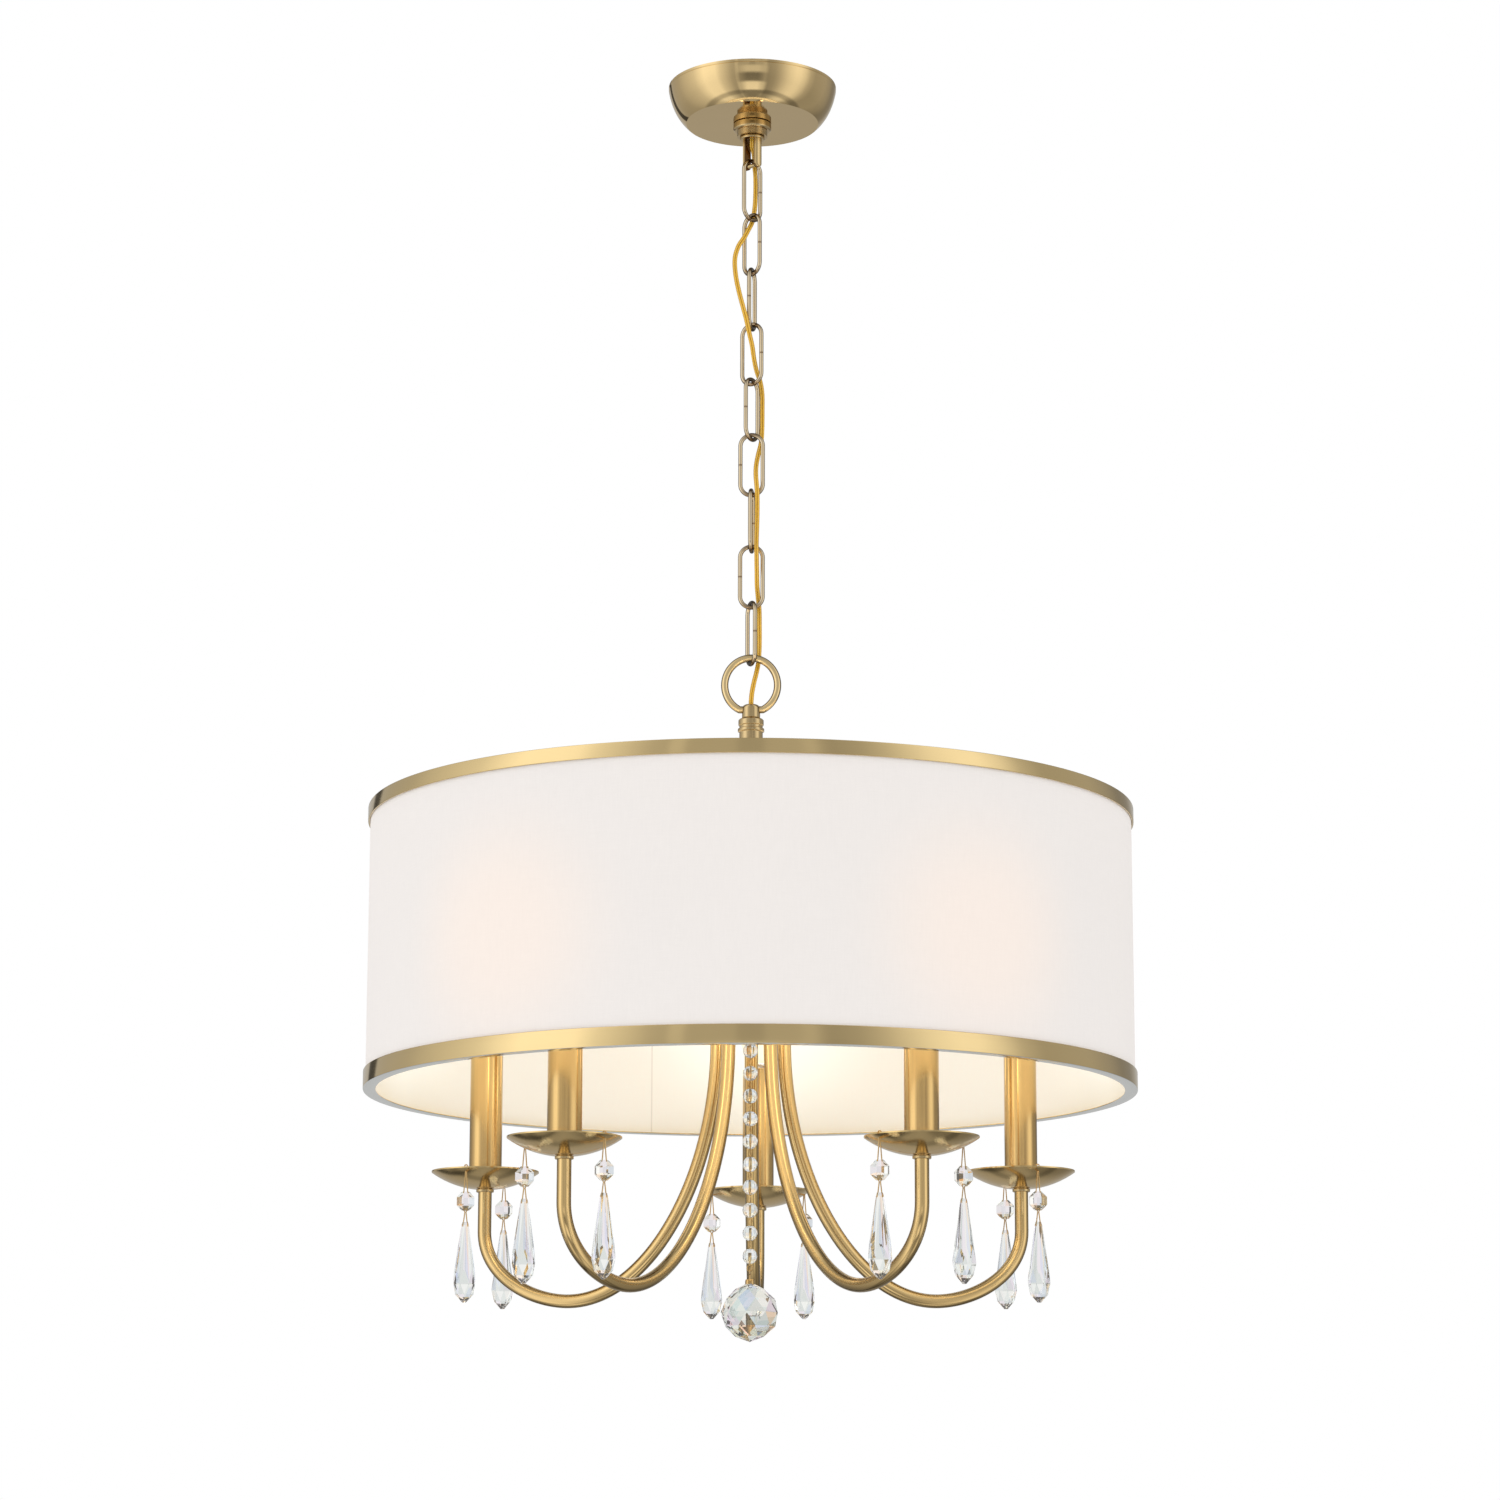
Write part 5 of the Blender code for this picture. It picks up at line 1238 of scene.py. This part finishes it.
BEAD_DROP = 0.0254
BEAD_HALF = 0.0069
BEAD_RINGS = ((0.42, 0.0016, 1.00), (1.00, 0.0032, 0.41), (0.62, 0.0042, 0.30),
              (1.00, 0.0032, -0.41), (0.62, 0.0042, -0.30), (0.42, 0.0016, -1.00))
DROP_START = 0.0404
DROP_LENGTH = 0.0590
DROP_HALF_WIDTH = 0.0085
DROP_HALF_DEPTH = 0.00625
DROP_RINGS = ((0.000, 0.24, 0.00), (0.035, 0.31, 0.00), (0.58, 0.87, 0.00), (0.75, 1.00, 0.50),
              (0.89, 0.76, 0.00), (0.985, 0.16, 0.50))
FACINGS = [radians(turn) for turn in (0, 12, -8, 20, -15, 6, 10, -20, 4, -10)]
bead = [(BEAD_HALF * wide, deep, BEAD_HALF * level, 0.5, 8) for wide, deep, level in BEAD_RINGS]
long_drop = [(DROP_HALF_WIDTH * wide, DROP_HALF_DEPTH * wide, -DROP_LENGTH * share, offset, 8)
             for share, wide, offset in DROP_RINGS]
for number, facing in enumerate(FACINGS, start=1):
    node = f"pendant_{number}"
    body = f"drop_{number}"
    pivot = Vector(joints[f"{node}_swing"]["pos_m"])
    mesh = cut_mesh(f"{node}_bead", bead, pivot + down(BEAD_DROP), facing)
    mount_piece(f"{node}_bead", mesh, body, [node], "crystal", crystal)
    mesh = cut_mesh(f"{node}_drop", long_drop, pivot + down(DROP_START + GAP), facing, 5)
    mount_piece(f"{node}_drop", mesh, body, [node], "crystal", crystal)
    hairpin(f"{node}_upper_pin", pivot + down(-0.0012), pivot + down(BEAD_DROP - BEAD_HALF * 0.8),
            0.0030, facing, 0.0075, body, node)
    hairpin(f"{node}_lower_pin", pivot + down(BEAD_DROP + BEAD_HALF * 0.75),
            pivot + down(DROP_START + 0.0035), 0.0034, facing, 0.0030, body, node)

# Bead string and ball: thirteen round cut beads on brass wires hang from the finial nut, and a
# large ball cut in diamonds hangs on the last eye.
BEAD_COUNT = 13
BEAD_PITCH = 0.0165
BEAD_RADIUS = 0.0055
FIRST_BEAD = 0.0128
HEAD_RADIUS = 0.0023
STRING_WIRE = 0.0006
LINK_EYE = 0.0020
LINK_EYE_WIRE = 0.00055
BALL_RADIUS = 0.0210
BALL_HEIGHT = 0.0415
BALL_SQUASH = 0.93
BALL_ROWS = 6
BALL_CORNERS = 9
string_top = Vector(joints["bead_string_swing"]["pos_m"])
ball_pivot = joints["ball_swing"]["pos_m"][2]


def string_tree():
    """Geometry nodes: beads at an even pitch down a line."""
    group, source = open_tree("bead string", ("Count", "Int"), ("Pitch", "Float"),
                              ("Radius", "Float"), ("First", "Float"))
    start = add_node(group, "ShaderNodeCombineXYZ",
                     {2: value_of(group, "MULTIPLY", source.outputs["First"], -1.0)})
    pace = add_node(group, "ShaderNodeCombineXYZ",
                    {2: value_of(group, "MULTIPLY", source.outputs["Pitch"], -1.0)})
    line = add_node(group, "GeometryNodeMeshLine",
                    {"Count": source.outputs["Count"], "Start Location": start.outputs[0],
                     "Offset": pace.outputs[0]}, mode="OFFSET")
    bead = add_node(group, "GeometryNodeMeshUVSphere",
                    {"Segments": 12, "Rings": 8, "Radius": source.outputs["Radius"]})
    index = add_node(group, "GeometryNodeInputIndex")
    spin = add_node(group, "ShaderNodeCombineXYZ",
                    {0: 0.0, 2: value_of(group, "MULTIPLY", index.outputs[0], 0.37)})
    placed = add_node(group, "GeometryNodeInstanceOnPoints",
                      {"Points": line.outputs[0], "Instance": bead.outputs[0],
                       "Rotation": spin.outputs[0]})
    finish_tree(group, placed.outputs[0], source.outputs["Material"])
    return group


mesh = shaped_by(string_tree(), path_object([(0, 0, 0), (0, 0, 0.01)]), "string_beads",
                 Matrix.Translation(string_top), angle=1.0, Count=BEAD_COUNT, Pitch=BEAD_PITCH,
                 Radius=BEAD_RADIUS, First=FIRST_BEAD, Material=crystal)
paint_facet_reflections(mesh, lambda index: index * 3 + index // 7)
mount_piece("string_beads", mesh, "bead_string", ["bead_chain"], "crystal")
top = string_top.z
neck_foot = top - FIRST_BEAD + 0.0052
outline = [(0.0, top + HEAD_RADIUS)]
outline += arc_points((0, top), HEAD_RADIUS, HEAD_RADIUS, pi / 2, -pi / 3, 10)[1:]
outline += [(STRING_WIRE, top - 0.0024), (STRING_WIRE, neck_foot), (0.0, neck_foot)]
mount_turned("string_head", outline, 24, "bead_string", ["bead_chain"], "crystal", pin_brass)


def eye_loop(level, turn, half_width, half_height, steps):
    """Points of an upright oval eye on the middle line."""
    across = Vector((cos(turn), sin(turn), 0))
    angles = [2 * pi * step / steps for step in range(steps)]
    return [Vector((0, 0, level)) + across * half_width * cos(angle)
            + Vector((0, 0, half_height * sin(angle))) for angle in angles]


gap = BEAD_PITCH - BEAD_RADIUS * 2
for number in range(BEAD_COUNT - 1):
    level = top - FIRST_BEAD - BEAD_PITCH * (number + 0.5)
    mount_wire(f"string_eye_{number + 1}", eye_loop(level, 0.9 * number, 0.0010, gap / 2, 16),
               0.00040, 8, "bead_string", "bead_chain", "crystal", pin_brass, closed=True)
eye = ball_pivot + LINK_EYE
mount_wire("string_last_eye", eye_loop(eye, 0, LINK_EYE, LINK_EYE, 24), LINK_EYE_WIRE, 12,
           "bead_string", "bead_chain", "crystal", pin_brass, closed=True)
outline = [(0.0, eye + 0.0034), (STRING_WIRE, eye + 0.0034), (STRING_WIRE, eye + 0.0019),
           (0.0, eye + 0.0019)]
mount_turned("string_last_neck", outline, 16, "bead_string", ["bead_chain"], "crystal", pin_brass)
own_eye = ball_pivot + 0.0012 + GAP - LINK_EYE
mount_wire("ball_eye", eye_loop(own_eye, pi / 2, LINK_EYE, LINK_EYE, 24), LINK_EYE_WIRE, 12,
           "ball", "crystal_ball", "crystal", pin_brass, closed=True)
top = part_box("crystal_ball")[0][2] + BALL_HEIGHT
outline = [(0.0, own_eye - 0.0018), (STRING_WIRE, own_eye - 0.0018), (0.0008, top + 0.0032),
           (0.0030, top + 0.0030), (0.0034, top + 0.0020), (0.0034, top - 0.0004),
           (0.0, top - 0.0004)]
mount_turned("ball_cap", outline, 32, "ball", ["crystal_ball"], "crystal", pin_brass)
half = BALL_HEIGHT / 2
rings = [(0.0030, 0.0030, half, 0.0, BALL_CORNERS)]
for row in range(1, BALL_ROWS):
    latitude = pi / 2 - pi * row / BALL_ROWS
    girth = BALL_RADIUS * cos(latitude)
    rings.append((girth, girth, BALL_RADIUS * BALL_SQUASH * sin(latitude), 0.5 * (row % 2),
                  BALL_CORNERS))
rings.append((0.0, 0.0, -half, 0.0, 1))
mesh = cut_mesh("ball_glass", rings, (0, 0, top - half), radians(4), reflection_power=2.4)
mount_piece("ball_glass", mesh, "ball", ["crystal_ball"], "crystal", crystal)
